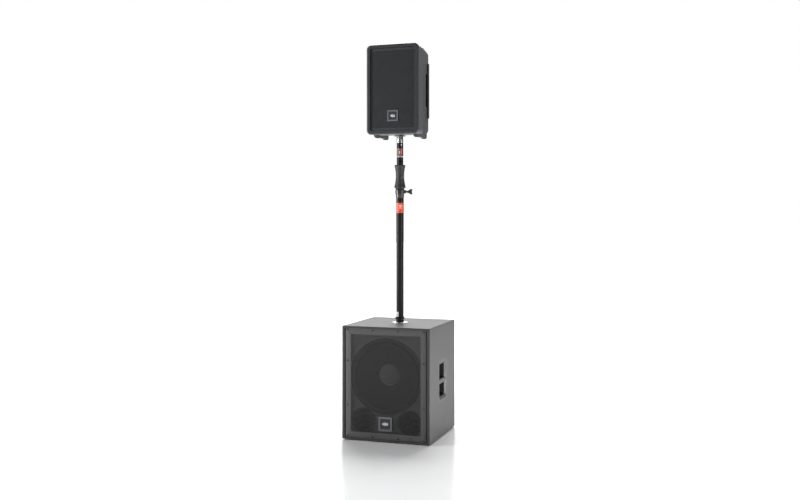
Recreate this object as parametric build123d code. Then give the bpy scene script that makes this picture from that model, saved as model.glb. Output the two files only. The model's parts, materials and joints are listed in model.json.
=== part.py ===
from build123d import *
import os
from dataclasses import dataclass
from math import atan2, cos, degrees, radians, sin, sqrt

# A powered satellite speaker on a height-adjustable pole, standing on a powered subwoofer.
# Millimetres. +Z is up, the fronts face -Y, and the origin is on the floor under the pole.

# ---- Subwoofer cabinet ----
sub_width = 470.0
sub_depth = 472.0
sub_height = 584.0           # floor to top panel
sub_wall = 15.0              # plywood top, bottom and sides
sub_lip = 10.0               # what is left of the top and bottom in front of the grille's rebate
sub_edge_radius = 5.0
foot_height = 4.0
foot_radius = 19.0
foot_inset = 42.0
sub_baffle_thickness = 18.0
sub_back_thickness = 15.0
back_recess = 20.0           # back panel sits in from the cabinet's rear edge
brace_thickness = 15.0

grille_setback = 3.0
grille_depth = 16.0
grille_sheet = 1.5
grille_side_gap = 4.5
grille_top_gap = 0.5
screw_border_side = 11.5     # grille edge to screw centre
screw_border_end = 8.5
side_screw_spacing = 227.0

port_radius = 50.0
port_flange = port_radius + 14
port_side_gap = 32.0         # port flange to the cabinet's inner side
port_floor_gap = 20.0
port_woofer_gap = 3.4
port_length = 160.0
port_wall = 3.0
sub_badge_size = 72.0
sub_badge_height = 94.0
badge_thickness = 3.0

handle_width = 156.0
handle_height = 220.0
handle_lip = 12.0            # flat rim outside the bevel
handle_bevel_depth = 9.0
handle_mouth_width = 100.0
handle_mouth_height = 168.0
handle_depth = 56.0
handle_draft = 15.0          # how far each side of the dish leans in
handle_wall = 4.0
handle_flange = 3.0
handle_bar_height = 27.0
handle_bar_depth = 24.0
handle_bar_drop = 5.0        # bar sits below the middle of the mouth

amp_width = 250.0
amp_height = 400.0
amp_plate = 3.0
amp_fin_share = 0.5          # fin length as a share of the panel's height
amp_board_side = 35.0        # panel's side to the circuit board
amp_board_end = 40.0
control_drop = 50.0          # panel's end to its row of sockets and controls
sub_jack_across = (-62, -22)
sub_button_across = 22.0
sub_knob_across = 66.0
sub_inlet_across = -62.0
sub_rocker_across = 0.0
brace_share = 0.62           # how far back the brace stands

# ---- Pole ----
lower_tube_radius = 20.0
tube_wall = 1.8
tube_play = 0.7              # lower tube's bore to the upper tube
lower_tube_bore = lower_tube_radius - tube_wall
upper_tube_radius = lower_tube_bore - tube_play
upper_tube_bore = upper_tube_radius - tube_wall
cup_flange_radius = 41.0
cup_flange_thickness = 2.5
stud_radius = 9.9            # M20 stud, drawn without its thread
stud_length = 40.0
plug_height = 16.0
plug_ring_radius = lower_tube_radius + 5
plug_ring_height = 11.0
collar_height = 48.0
collar_radius = lower_tube_radius + 5
collar_boss_radius = 9.0
collar_base = 1241.0         # floor to the collar's lower end
grip_height = 126.0
grip_flare_radius = lower_tube_radius + 10.5
grip_waist_radius = lower_tube_radius + 2
grip_wall_at_end = 4.0
pin_hole_radius = 4.0
pin_hole_pitch = 86.0
release_rise = 59.0          # grip's lower end to the button
release_radius = 9.0
release_travel = 2.0
feature_angle = 42.0         # pin holes and button, turned from the front towards the right
upper_tube_base = 850.0
adapter_length = 37.0        # bright spigot showing under the speaker
socket_depth = 100.0
slide_clearance = 0.05
loose_clearance = 0.3
bush_length = 14.0
bush_cap = 8.0
glide_length = 28.0
glide_foot = 3.0
wing_rise = 33.0             # collar's lower end to the screw
wing_reach = lower_tube_radius + 49
wing_shank_radius = 4.0
wing_span = 30.0
wing_thickness = 8.0

# ---- Satellite speaker ----
top_width = 284.0
top_height = 466.0
top_depth = 250.0
top_base = 1568.0            # floor to the underside
top_front = 127.0            # front face to pole axis
top_corner = 24.0
bezel_depth = 10.0
bezel_width = 19.0
seam_gap = 3.0
seam_step = 1.5
band_depth = 76.0            # straight part of the rear shell
side_taper = 20.0
roof_taper = 6.0
floor_taper = 14.0
shell_wall = 4.0
rear_round = 9.0
top_grille_inset = 8.0
top_grille_sheet = 1.5
top_baffle_inset = 16.0
top_baffle_thickness = 5.0
top_woofer_height = 160.0    # underside to the middle of the driver
horn_side_gap = 12.0         # grille opening to the horn's flange
horn_top_gap = 22.0
horn_woofer_gap = 25.0
horn_flange = 8.0
horn_depth = 72.0
horn_wall = 3.0
throat_radius = 12.7
compression_radius = 45.0
compression_depth = 52.0
top_port_radius = 21.0
top_port_length = 110.0
top_port_flange = 5.0
top_port_side_gap = 7.0
top_port_floor_gap = 15.0
top_badge_size = 58.0
top_badge_height = 96.0
grip_bar_height = 290.0
grip_bar_width = 24.0
grip_bar_stand = 8.0
grip_bar_thickness = 14.0
pocket_height = 175.0
pocket_width = 68.0
pocket_depth = 36.0
pocket_wall = 3.0
pocket_front = 36.0          # where the pocket starts behind the pole axis
handle_middle = 243.0        # underside to the middle of the handle
top_amp_width = 180.0
top_amp_height = 340.0
top_fin_share = 0.42
top_board_side = 25.0
top_board_end = 30.0
top_jack_drop = 52.0         # panel's top to the row of sockets
top_knob_drop = 96.0
top_power_rise = 30.0        # panel's lower end to the power inlet
top_jack_across = 50.0
top_inlet_across = -36.0
top_rocker_across = 26.0
rail_drop = 8.0              # rails under the speaker, below the underside
rail_width = 18.0
rail_inset = 34.0
pad_thickness = 3.0
pad_length = 40.0

# ---- Fittings shared by both cabinets ----
screw_head_radius = 4.2
screw_head_height = 1.8
screw_radius = 2.0
screw_length = 20.0
screw_clearance = 0.15
screw_inset = 7.0            # edge of an amplifier panel to its screws
fit_gap = 0.2
jack_bore = 9.5
jack_bore_depth = 14.0
jack_body_radius = 11.8
jack_body_depth = 26.0
jack_flange_width = 26.0
jack_flange_height = 31.0
jack_flange_thickness = 2.0
inlet_width = 28.0
inlet_height = 20.5
inlet_depth = 22.0
inlet_mouth_width = 24.5
inlet_mouth_height = 16.5
inlet_mouth_depth = 15.0
inlet_flange = 5.0
rocker_radius = 9.6
rocker_width = 13.0
rocker_clearance = 0.5
knob_radius = 9.0
knob_height = 12.0
knob_shaft_radius = 3.0
knob_lift = 0.5
button_radius = 4.0
button_stand = 4.0
board_stand = 36.0
fin_thickness = 2.0
fin_height = 9.0
fin_pitch = 11.0
spider_gap = 3.0             # spider to the cone, when the cone is fully back

parts = {}


@dataclass
class Driver:
    """Sizes of one cone driver. Heights run forward from the baffle's face."""
    frame_radius: float
    flange: float
    rim: float               # width of the frame's flat rim
    roll: float              # width of the surround's half roll
    rear_radius: float
    rear_depth: float
    coil_radius: float
    neck_depth: float
    cap_radius: float
    cap_height: float
    magnet_radius: float
    magnet_thickness: float
    plate: float
    paper: float
    travel: float
    windows: int
    bolts: int

    @property
    def mouth(self):
        return self.frame_radius - self.rim

    @property
    def ledge(self):
        return self.mouth - 6

    @property
    def cone_radius(self):
        return self.ledge - self.roll

    @property
    def hole_radius(self):
        return self.frame_radius - self.rim - 2

    @property
    def basket_radius(self):
        return self.hole_radius - 1

    @property
    def seat(self):
        """Height of the ledge that the surround is glued to."""
        return self.flange - 3

    @property
    def neck(self):
        """Height of the cone's front at the voice coil."""
        return self.seat - self.neck_depth

    @property
    def spider_seat(self):
        """Height of the spider, clear of the cone when it is fully back."""
        return self.neck - self.paper - self.travel - spider_gap

    @property
    def spider_radius(self):
        share = (self.spider_seat + 2) / (5 - self.rear_depth)
        return self.ledge + (self.rear_radius - 3 - self.ledge) * share

    def cone_at(self, radius):
        share = (radius - self.coil_radius) / (self.cone_radius - self.coil_radius)
        return self.neck + share * self.neck_depth


sub_driver = Driver(frame_radius=193, flange=6, rim=11, roll=16, rear_radius=80, rear_depth=95,
                    coil_radius=38, neck_depth=66, cap_radius=56, cap_height=19, magnet_radius=90,
                    magnet_thickness=24, plate=8, paper=1.6, travel=8, windows=6, bolts=8)
top_driver = Driver(frame_radius=106, flange=4.5, rim=8, roll=10, rear_radius=50, rear_depth=60,
                    coil_radius=22, neck_depth=40, cap_radius=30, cap_height=11, magnet_radius=58,
                    magnet_thickness=16, plate=6, paper=1.2, travel=5, windows=6, bolts=8)

# ---- Places worked out from the sizes above ----
sub_front = -sub_depth / 2
sub_rear = sub_depth / 2
grille_front = sub_front + grille_setback
baffle_face = grille_front + grille_depth
grille_width = sub_width - 2 * (sub_wall + grille_side_gap)
grille_height = sub_height - foot_height - 2 * (sub_lip + grille_top_gap)
cabinet_middle = (sub_height + foot_height) / 2
back_face = sub_rear - back_recess
amp_face = back_face + amp_plate
amp_control_height = amp_height / 2 - control_drop
port_spacing = sub_width - 2 * (sub_wall + port_side_gap + port_flange)
port_height = foot_height + sub_wall + port_floor_gap + port_flange
woofer_height = port_height + sqrt((sub_driver.frame_radius + port_flange + port_woofer_gap) ** 2
                                   - (port_spacing / 2) ** 2)
brace_place = sub_front + sub_depth * brace_share
plug_base = sub_height + cup_flange_thickness
ring_base = plug_base + plug_height
lower_tube_base = ring_base + plug_ring_height
grip_base = collar_base + collar_height
grip_top = grip_base + grip_height
release_height = grip_base + release_rise
wing_height = collar_base + wing_rise
adapter_base = top_base - adapter_length
spigot_top = top_base + socket_depth
bezel_back = -top_front + bezel_depth
shell_front = bezel_back + seam_gap
band_end = shell_front + band_depth
top_rear = top_depth - top_front
top_baffle_face = -top_front + top_baffle_inset
top_grille_front = -top_front + top_grille_inset
top_grille_width = top_width - 2 * bezel_width
top_grille_height = top_height - 2 * bezel_width
top_middle = top_base + top_height / 2
horn_space = top_height - bezel_width - top_woofer_height - top_driver.frame_radius
horn_mouth_width = top_grille_width - 2 * (horn_side_gap + horn_flange)
horn_mouth_height = horn_space - horn_top_gap - horn_woofer_gap - 2 * horn_flange
horn_height = top_height - bezel_width - horn_top_gap - horn_flange - horn_mouth_height / 2
top_port_spacing = top_grille_width - 2 * (top_port_radius + top_port_flange + top_port_side_gap)
top_port_height = bezel_width + top_port_floor_gap + top_port_flange + top_port_radius


def facing(turn, x, y, z):
    """Place for a shape drawn lying flat, stood up to face the front and turned about Z."""
    return Pos(x, y, z) * Rotation(0, 0, turn) * Rotation(90, 0, 0)


FRONT, RIGHT, BACK, LEFT = 0, 90, 180, -90
low = (Align.CENTER, Align.CENTER, Align.MIN)
high = (Align.CENTER, Align.CENTER, Align.MAX)


def turned(outline):
    """Solid of revolution about Z from a closed outline of (radius, height) points."""
    return spun(make_face(Polyline(*outline, close=True)))


def spun(sketch):
    """Solid of revolution about Z from a sketch of (radius, height)."""
    return revolve(Plane.XZ * sketch, axis=Axis.Z)


def ring(outer, inner, height):
    return Cylinder(outer, height, align=low) - Cylinder(inner, height, align=low)


def plate(width, height, thickness, corner):
    """Rounded plate lying on z = 0."""
    return extrude(RectangleRounded(width, height, corner), thickness)


def group(solids):
    return Compound(children=list(solids))


# ---- Screws and their holes ----
def screw():
    """Pan-head screw standing on z = 0, with its shank below."""
    head = Cylinder(screw_head_radius, screw_head_height, align=low)
    head = fillet(head.edges().group_by(Axis.Z)[-1], screw_head_height * 0.6)
    head -= Pos(0, 0, screw_head_height - 1) * Box(4.4, 1, 2, align=low)
    head -= Pos(0, 0, screw_head_height - 1) * Box(1, 4.4, 2, align=low)
    return head + Cylinder(screw_radius, screw_length, align=high)


def screw_hole():
    return Cylinder(screw_radius + screw_clearance, screw_length + 1, align=high)


def with_holes(shape, places):
    """Cuts a clearance hole for a screw at each place, through anything in its way."""
    for place in places:
        shape = shape - place * Pos(0, 0, 1) * screw_hole()
    return shape


def evenly(count, low_end, high_end):
    step = (high_end - low_end) / (count - 1)
    return [low_end + i * step for i in range(count)]


def grille_screw_places():
    half_x = grille_width / 2 - screw_border_side
    half_z = grille_height / 2 - screw_border_end
    spots = [(x, z) for z in (-half_z, half_z) for x in evenly(4, -half_x, half_x)]
    spots += [(x, z) for x in (-half_x, half_x) for z in (-side_screw_spacing / 2, side_screw_spacing / 2)]
    return [facing(FRONT, x, grille_front, cabinet_middle + z) for x, z in spots]


def handle_screw_places(turn):
    """Screws round the rim, their heads sunk flush with the cabinet's side."""
    edge_z = (handle_height - handle_lip) / 2
    edge_y = (handle_width - handle_lip) / 2
    spots = [(a * handle_width / 4, b * edge_z) for a in (-1, 1) for b in (-1, 1)]
    spots += [(a * edge_y, b * handle_height / 4) for a in (-1, 1) for b in (-1, 1)]
    side = 1 if turn == RIGHT else -1
    face = side * (sub_width / 2 - screw_head_height)
    return [facing(turn, face, y, cabinet_middle + z) for y, z in spots]


def amp_screw_places():
    half_x = amp_width / 2 - screw_inset
    half_z = amp_height / 2 - screw_inset
    spots = [(x, z) for x in (-half_x, half_x) for z in evenly(4, -half_z, half_z)]
    return [facing(BACK, x, amp_face, cabinet_middle + z) for x, z in spots]


def foot_places():
    half_x = sub_width / 2 - foot_inset
    half_y = sub_depth / 2 - foot_inset
    return [Pos(x, y, foot_height) for x in (-half_x, half_x) for y in (-half_y, half_y)]


def foot_screw_places():
    return [p * Pos(0, 0, -foot_height / 2) * Rotation(180, 0, 0) for p in foot_places()]


def top_amp_screw_places():
    half_x = top_amp_width / 2 - screw_inset
    half_z = top_amp_height / 2 - screw_inset
    spots = [(x, z) for x in (-half_x, 0, half_x) for z in (-half_z, half_z)]
    return [on_top_amp(x, z) for x, z in spots]


def driver_bolt_places(driver, x, y, z):
    reach = driver.frame_radius - driver.rim * 0.45
    turns = [360 / driver.bolts * (i + 0.5) for i in range(driver.bolts)]
    return [facing(FRONT, x + reach * cos(radians(a)), y - driver.flange, z + reach * sin(radians(a)))
            for a in turns]


# ---- Cone drivers ----
def driver_frame(d):
    outline = [(d.frame_radius, 0), (d.frame_radius, d.flange), (d.mouth, d.flange),
               (d.mouth, d.seat), (d.ledge, d.seat), (d.ledge, -2),
               (d.spider_radius, d.spider_seat), (d.spider_radius - 5, d.spider_seat),
               (d.rear_radius - 6, 3 - d.rear_depth), (d.coil_radius + 3, 3 - d.rear_depth),
               (d.coil_radius + 3, -d.rear_depth), (d.rear_radius, -d.rear_depth),
               (d.basket_radius, -6), (d.basket_radius, 0)]
    frame = turned(outline)
    middle = (d.rear_radius + d.basket_radius) / 2
    window = Pos(middle, 0, -d.rear_depth * 0.42) * Box(middle, middle * 0.62, d.rear_depth * 0.5)
    for i in range(d.windows):
        frame -= Rotation(0, 0, 360 / d.windows * i) * window
    return frame


def driver_magnet(d):
    front_plate = ring(d.magnet_radius * 0.85, d.coil_radius + 1, d.plate)
    magnet = ring(d.magnet_radius, d.coil_radius + 12, d.magnet_thickness)
    back_plate = Cylinder(d.magnet_radius * 0.88, d.plate, align=low)
    back_plate = fillet(back_plate.edges().group_by(Axis.Z)[0], d.plate / 3)
    pole = Cylinder(d.coil_radius - 1.8, d.magnet_thickness + 2 * d.plate, align=low)
    stack = -d.rear_depth - d.plate
    magnet_base = stack - d.magnet_thickness
    return group([Pos(0, 0, stack) * front_plate, Pos(0, 0, magnet_base) * magnet,
                  Pos(0, 0, magnet_base - d.plate) * (back_plate + pole)])


def driver_cone(d):
    return turned([(d.coil_radius, d.neck), (d.cone_radius, d.seat), (d.cone_radius, d.seat - d.paper),
                   (d.coil_radius, d.neck - d.paper)])


def driver_cap(d):
    sphere_radius = (d.cap_radius ** 2 + d.cap_height ** 2) / (2 * d.cap_height)
    shell = Sphere(sphere_radius) - Sphere(sphere_radius - d.paper)
    shell = Pos(0, 0, d.cap_height - sphere_radius) * shell
    dome = shell & Cylinder(d.cap_radius + 5, d.cap_height + 5, align=low)
    return Pos(0, 0, d.cone_at(d.cap_radius)) * dome


def driver_coil(d):
    base = -d.rear_depth - d.plate - 3
    return Pos(0, 0, base) * ring(d.coil_radius, d.coil_radius - 0.9, d.neck - base)


def driver_surround(d):
    middle = (d.ledge + d.cone_radius) / 2
    rubber = 1.2
    arch = Pos(middle, d.seat) * (Circle(d.roll / 2) - Circle(d.roll / 2 - rubber))
    arch &= Pos(middle, d.seat + d.roll / 4) * Rectangle(d.roll, d.roll / 2)
    frame_rim = Pos(d.ledge - rubber, d.seat) * Rectangle(d.mouth - d.ledge + rubber, rubber, align=Align.MIN)
    cone_rim = Pos(d.cone_radius - 4, d.seat) * Rectangle(4 + rubber, rubber, align=Align.MIN)
    return spun(arch + frame_rim + cone_rim)


def driver_spider(d):
    """Corrugated disc from the coil to its ledge in the basket."""
    count = 12
    cloth = 0.8
    radii = evenly(count + 1, d.coil_radius, d.spider_radius - 1)
    waves = [1.2 if 0 < i < count - 1 and i % 2 else 0 for i in range(count + 1)]
    under = [(r, d.spider_seat + w) for r, w in zip(radii, waves)]
    top = [(r, h + cloth) for r, h in reversed(under)]
    return turned(under + top)


def add_driver(prefix, d, place, bolt_places):
    makers = {"frame": driver_frame, "magnet": driver_magnet, "cone": driver_cone,
              "dust_cap": driver_cap, "voice_coil": driver_coil, "surround": driver_surround,
              "spider": driver_spider}
    for name, make in makers.items():
        parts[f"{prefix}_woofer_{name}"] = place * make(d)
    parts[f"{prefix}_woofer_frame"] = with_holes(parts[f"{prefix}_woofer_frame"], bolt_places)


# ---- Sockets, switch, knob and button ----
def jack():
    """Combination audio socket: a flange on z = 0 and the body behind it."""
    body = plate(jack_flange_width, jack_flange_height, jack_flange_thickness, 2)
    body += Cylinder(jack_body_radius, jack_body_depth, align=high)
    mouth = Cylinder(jack_bore, jack_bore_depth, align=high)
    return body - Pos(0, 0, jack_flange_thickness) * mouth


def jack_cutout():
    return Cylinder(jack_body_radius + fit_gap, jack_body_depth, align=Align.CENTER)


def inlet():
    """Mains inlet: a flange on z = 0 and the body behind it."""
    body = plate(inlet_width + 2 * inlet_flange, inlet_height + inlet_flange, jack_flange_thickness, 2)
    body += Box(inlet_width, inlet_height, inlet_depth, align=high)
    mouth = Box(inlet_mouth_width, inlet_mouth_height, inlet_mouth_depth, align=high)
    return body - Pos(0, 0, jack_flange_thickness) * mouth


def inlet_cutout():
    return Box(inlet_width + 2 * fit_gap, inlet_height + 2 * fit_gap, inlet_depth)


def rocker():
    """Rocker of a power switch. Its pivot runs along X through the origin."""
    drum = Rotation(0, 90, 0) * Cylinder(rocker_radius, rocker_width)
    outline = Polyline((-12, -6), (12, -6), (12, 8), (0, 4.2), (-12, 3.4), close=True)
    wedge = extrude(Plane.YZ * make_face(outline), rocker_width, both=True)
    return drum & wedge


def rocker_cutout():
    return Box(rocker_width + 2 * rocker_clearance, 2 * (rocker_radius + rocker_clearance), 30)


def knob():
    """Pointer knob standing on z = 0, with its shaft below."""
    body = Cylinder(knob_radius, knob_height, align=low)
    body = fillet(body.edges().group_by(Axis.Z)[-1], 1.2)
    for i in range(12):
        notch = Cylinder(1.1, knob_height - 3, align=low)
        body -= Rotation(0, 0, 30 * i + 15) * Pos(knob_radius + 0.4, 0, 3) * notch
    body -= Pos(0, knob_radius * 0.55, knob_height) * Box(1.2, knob_radius * 0.7, 1)
    return body + Cylinder(knob_shaft_radius, 14, align=high)


def shaft_cutout(radius):
    return Cylinder(radius + loose_clearance, 30)


def button():
    cap = Cylinder(button_radius, button_stand, align=low)
    cap = fillet(cap.edges().group_by(Axis.Z)[-1], 0.8)
    return cap + Cylinder(button_radius, 10, align=high)


def fins(width, height):
    """Upright cooling fins standing on z = 0."""
    count = int(width / fin_pitch)
    places = evenly(count, -width / 2 + fin_thickness, width / 2 - fin_thickness)
    return [Pos(x, 0, 0) * Box(fin_thickness, height, fin_height, align=low) for x in places]


def circuit_board(width, height, heights, reach):
    """Board lying on z = 0 with a row of parts below it and four posts up to its panel."""
    board = Box(width, height, 1.6, align=high)
    for x in (-width / 2 + 6, width / 2 - 6):
        for y in (-height / 2 + 6, height / 2 - 6):
            board += Pos(x, y, 0) * Cylinder(3.5, reach, align=low)
    step = height / len(heights)
    for i, tall in enumerate(heights):
        spot = -height / 2 + step * (i + 0.5)
        board += Pos(0, spot, -1.6) * Box(width * 0.7, step * 0.6, tall, align=high)
    return board


def badge(size):
    """Square nameplate with a raised rim around a lower plate, standing on z = 0."""
    floor = badge_thickness * 0.4
    rim = plate(size, size, badge_thickness, size * 0.07)
    rim -= Pos(0, 0, floor) * plate(size * 0.78, size * 0.78, badge_thickness, size * 0.04)
    panel = Pos(0, 0, floor) * plate(size * 0.64, size * 0.64, badge_thickness * 0.45, size * 0.03)
    return rim + panel


# ---- Subwoofer ----
def dish_section(width, height, corner, depth):
    return Pos(0, 0, -depth) * RectangleRounded(width, height, corner)


def handle_dish(grow, top, top_width, top_height):
    """Bevel, then a draughted dish, as a solid. It grows outwards by a wall's thickness."""
    mouth = (handle_mouth_width + 2 * grow, handle_mouth_height + 2 * grow)
    bottom = (mouth[0] - 2 * handle_draft, mouth[1] - 2 * handle_draft)
    return loft([dish_section(top_width + 2 * grow, top_height + 2 * grow, 20 + grow, top),
                 dish_section(mouth[0], mouth[1], 16 + grow, handle_bevel_depth),
                 dish_section(bottom[0], bottom[1], 10 + grow, handle_depth + grow)], ruled=True)


def handle_opening(depth):
    """Width and height of the bevel's opening at a depth below the cabinet's side."""
    share = depth / handle_bevel_depth
    width = handle_width - 2 * handle_lip
    height = handle_height - 2 * handle_lip
    return (width + (handle_mouth_width - width) * share, height + (handle_mouth_height - height) * share)


def handle(turn):
    """Moulded dish let into the cabinet's side, with a grip bar across it."""
    side = 1 if turn == RIGHT else -1
    outside = handle_dish(handle_wall, handle_flange, *handle_opening(handle_flange))
    inside = handle_dish(0, 0, *handle_opening(0))
    flange = Pos(0, 0, -handle_flange) * plate(handle_width, handle_height, handle_flange, 26)
    bar = Pos(0, -handle_bar_drop, -handle_bevel_depth * 0.4)
    bar *= Box(handle_width, handle_bar_height, handle_bar_depth, align=high)
    bar = fillet(bar.edges().filter_by(Axis.X), 7)
    body = (flange + outside) - inside + (bar & (outside + flange))
    places = handle_screw_places(turn)
    body = facing(turn, side * sub_width / 2, 0, cabinet_middle) * body
    for place in places:
        body -= place * Cylinder(screw_head_radius + fit_gap, 2 * screw_head_height, align=low)
    return with_holes(body, places)


def sub_cabinet():
    height = sub_height - foot_height
    body = Box(sub_width, sub_depth, height)
    body = fillet(body.edges(), sub_edge_radius)
    body -= Box(sub_width - 2 * sub_wall, sub_depth + 2, height - 2 * sub_wall)
    rebate = Box(sub_width - 2 * sub_wall, 2 * (grille_setback + grille_depth), height - 2 * sub_lip)
    body -= Pos(0, sub_front, 0) * rebate
    body = Pos(0, 0, cabinet_middle) * body
    opening = [size + 2 * handle_wall + 1 for size in handle_opening(handle_flange)]
    for turn, side in ((RIGHT, 1), (LEFT, -1)):
        hole = Pos(0, 0, -sub_wall - 1) * plate(opening[0], opening[1], sub_wall + 2, 24)
        hole += Pos(0, 0, -handle_flange) * plate(handle_width, handle_height, 2 * handle_flange, 26)
        body -= facing(turn, side * sub_width / 2, 0, cabinet_middle) * hole
        body = with_holes(body, handle_screw_places(turn))
    cup = Cylinder(stud_radius + 6 + fit_gap, sub_wall + 2, align=high)
    body -= Pos(0, 0, sub_height + 1) * cup
    return with_holes(body, foot_screw_places())


def sub_panel(thickness):
    """Board that fills the cabinet's opening, lying on z = 0 and centred on it."""
    return Box(sub_width - 2 * sub_wall, sub_height - foot_height - 2 * sub_wall, thickness, align=high)


def sub_baffle():
    board = sub_panel(sub_baffle_thickness)
    woofer_hole = Cylinder(sub_driver.hole_radius, 3 * sub_baffle_thickness)
    port_hole = Cylinder(port_radius + port_wall + 3, 3 * sub_baffle_thickness)
    board -= Pos(0, woofer_height - cabinet_middle, 0) * woofer_hole
    for x in (-port_spacing / 2, port_spacing / 2):
        board -= Pos(x, port_height - cabinet_middle, 0) * port_hole
    return with_holes(facing(FRONT, 0, baffle_face, cabinet_middle) * board, sub_bolts + grille_screw_places())


def sub_brace():
    """Window brace across the middle of the cabinet, behind the driver and ports."""
    height = sub_height - foot_height - 2 * sub_wall
    width = sub_width - 2 * sub_wall
    board = Box(width, height, brace_thickness)
    windows = plate(width * 0.38, height * 0.38, 3 * brace_thickness, 20)
    for x in (-width / 4, width / 4):
        for z in (-height / 4, height / 4):
            board -= Pos(x, z, -brace_thickness) * windows
    notch = Box(handle_depth * 2 + 4, handle_height * 0.95, 3 * brace_thickness)
    for x in (-width / 2, width / 2):
        board -= Pos(x, 0, 0) * notch
    return facing(FRONT, 0, brace_place, cabinet_middle) * board


def sub_ports():
    face = 4
    flare = port_flange - port_radius - 2
    tube = turned([(port_flange, 0), (port_flange, face), (port_radius, face), (port_radius, -port_length),
                   (port_radius + port_wall, -port_length), (port_radius + port_wall, 0)])
    mouth = [e for e in tube.edges().filter_by(GeomType.CIRCLE) if abs(e.radius - port_radius) < 0.01]
    tube = chamfer(ShapeList(mouth).sort_by(Axis.Z)[-1], face * 0.8, flare)
    return group([facing(FRONT, x, baffle_face, port_height) * tube
                  for x in (-port_spacing / 2, port_spacing / 2)])


def sub_grille():
    """Folded steel cover. Its perforations are left to the finish."""
    tray = plate(grille_width, grille_height, grille_depth, 3)
    inner = plate(grille_width - 2 * grille_sheet, grille_height - 2 * grille_sheet, grille_depth, 1.5)
    tray -= Pos(0, 0, -grille_sheet) * inner
    tray = facing(FRONT, 0, baffle_face, cabinet_middle) * tray
    return with_holes(tray, grille_screw_places())


def sub_feet():
    foot = Cone(foot_radius, foot_radius - 3, foot_height, align=low)
    recess = Cylinder(screw_head_radius + 1.5, foot_height / 2, align=low)
    foot = Rotation(180, 0, 0) * (foot - Pos(0, 0, foot_height / 2) * recess)
    foot -= Cylinder(screw_radius + screw_clearance, 3 * foot_height)
    return group([p * foot for p in foot_places()])


def sub_back_panel():
    board = sub_panel(sub_back_thickness)
    board -= Box(amp_width - 4 * screw_inset, amp_height - 4 * screw_inset, 3 * sub_back_thickness)
    board = facing(BACK, 0, back_face, cabinet_middle) * board
    return with_holes(board, amp_screw_places())


def on_amp(x, z):
    return facing(BACK, x, amp_face, cabinet_middle + z)


sub_jack_places = [on_amp(x, amp_control_height) for x in sub_jack_across]
sub_inlet_place = on_amp(sub_inlet_across, -amp_control_height)
sub_rocker_place = on_amp(sub_rocker_across, -amp_control_height)
sub_knob_place = on_amp(sub_knob_across, amp_control_height)
sub_button_place = on_amp(sub_button_across, amp_control_height)


def sub_amp_panel():
    body = plate(amp_width, amp_height, amp_plate, 4)
    for fin in fins(amp_width - 36, amp_height * amp_fin_share):
        body += Pos(0, 0, amp_plate) * fin
    body = facing(BACK, 0, back_face, cabinet_middle) * body
    for place in sub_jack_places:
        body -= place * jack_cutout()
    body -= sub_inlet_place * inlet_cutout()
    body -= sub_rocker_place * rocker_cutout()
    body -= sub_knob_place * shaft_cutout(knob_shaft_radius)
    body -= sub_button_place * shaft_cutout(button_radius)
    return with_holes(body, amp_screw_places())


def sub_screws():
    places = grille_screw_places() + handle_screw_places(RIGHT) + handle_screw_places(LEFT)
    places += amp_screw_places() + foot_screw_places() + sub_bolts
    return group([p * screw() for p in places])


# ---- Pole ----
def pole_cup():
    """Threaded socket let into the subwoofer's top."""
    cup = Cylinder(stud_radius + 6, stud_length + 12, align=high)
    flange = Cylinder(cup_flange_radius, cup_flange_thickness, align=low)
    flange = fillet(flange.edges().group_by(Axis.Z)[-1], cup_flange_thickness * 0.6)
    cup = cup + flange
    cup -= Pos(0, 0, cup_flange_thickness) * Cylinder(stud_radius + 0.1, stud_length + 6, align=high)
    return Pos(0, 0, sub_height) * cup


def pole_base_plug():
    plug = Cylinder(stud_radius, stud_length, align=high)
    plug += Cylinder(lower_tube_radius + 0.4, plug_height, align=low)
    band = Cylinder(plug_ring_radius, plug_ring_height, align=low)
    band = chamfer(band.edges(), 2.5)
    plug += Pos(0, 0, plug_height) * band
    plug += Pos(0, 0, plug_height) * Cylinder(lower_tube_bore, plug_ring_height + 40, align=low)
    return Pos(0, 0, plug_base) * plug


def radial(height, reach):
    """Place on the pole's feature line, with local +Z pointing outwards."""
    a = radians(feature_angle)
    return facing(feature_angle, reach * sin(a), -reach * cos(a), height)


def pole_lower_tube():
    length = grip_top - bush_cap - lower_tube_base
    tube = Pos(0, 0, lower_tube_base) * ring(lower_tube_radius, lower_tube_bore, length)
    tube -= radial(release_height, 0) * Cylinder(pin_hole_radius + 1, 40, align=low)
    return tube - facing(RIGHT, 0, 0, wing_height) * Cylinder(wing_shank_radius + 1, 40, align=low)


def pole_collar():
    r = collar_radius
    step = collar_height * 0.44
    body = turned([(lower_tube_radius, 0), (lower_tube_radius + 1.2, 0), (r - 2.2, step), (r, step + 1.5),
                   (r, collar_height - 7), (r - 1.5, collar_height - 5), (r - 3, collar_height),
                   (lower_tube_radius, collar_height)])
    body = Pos(0, 0, collar_base) * body
    boss = facing(RIGHT, lower_tube_radius + 0.5, 0, wing_height) * Cylinder(collar_boss_radius, 13, align=low)
    hole = Cylinder(lower_tube_radius, 3 * collar_height)
    body = body + (boss - Pos(0, 0, wing_height) * hole)
    shank_hole = Cylinder(wing_shank_radius + loose_clearance, 60, align=low)
    return body - facing(RIGHT, 0, 0, wing_height) * shank_hole


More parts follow.
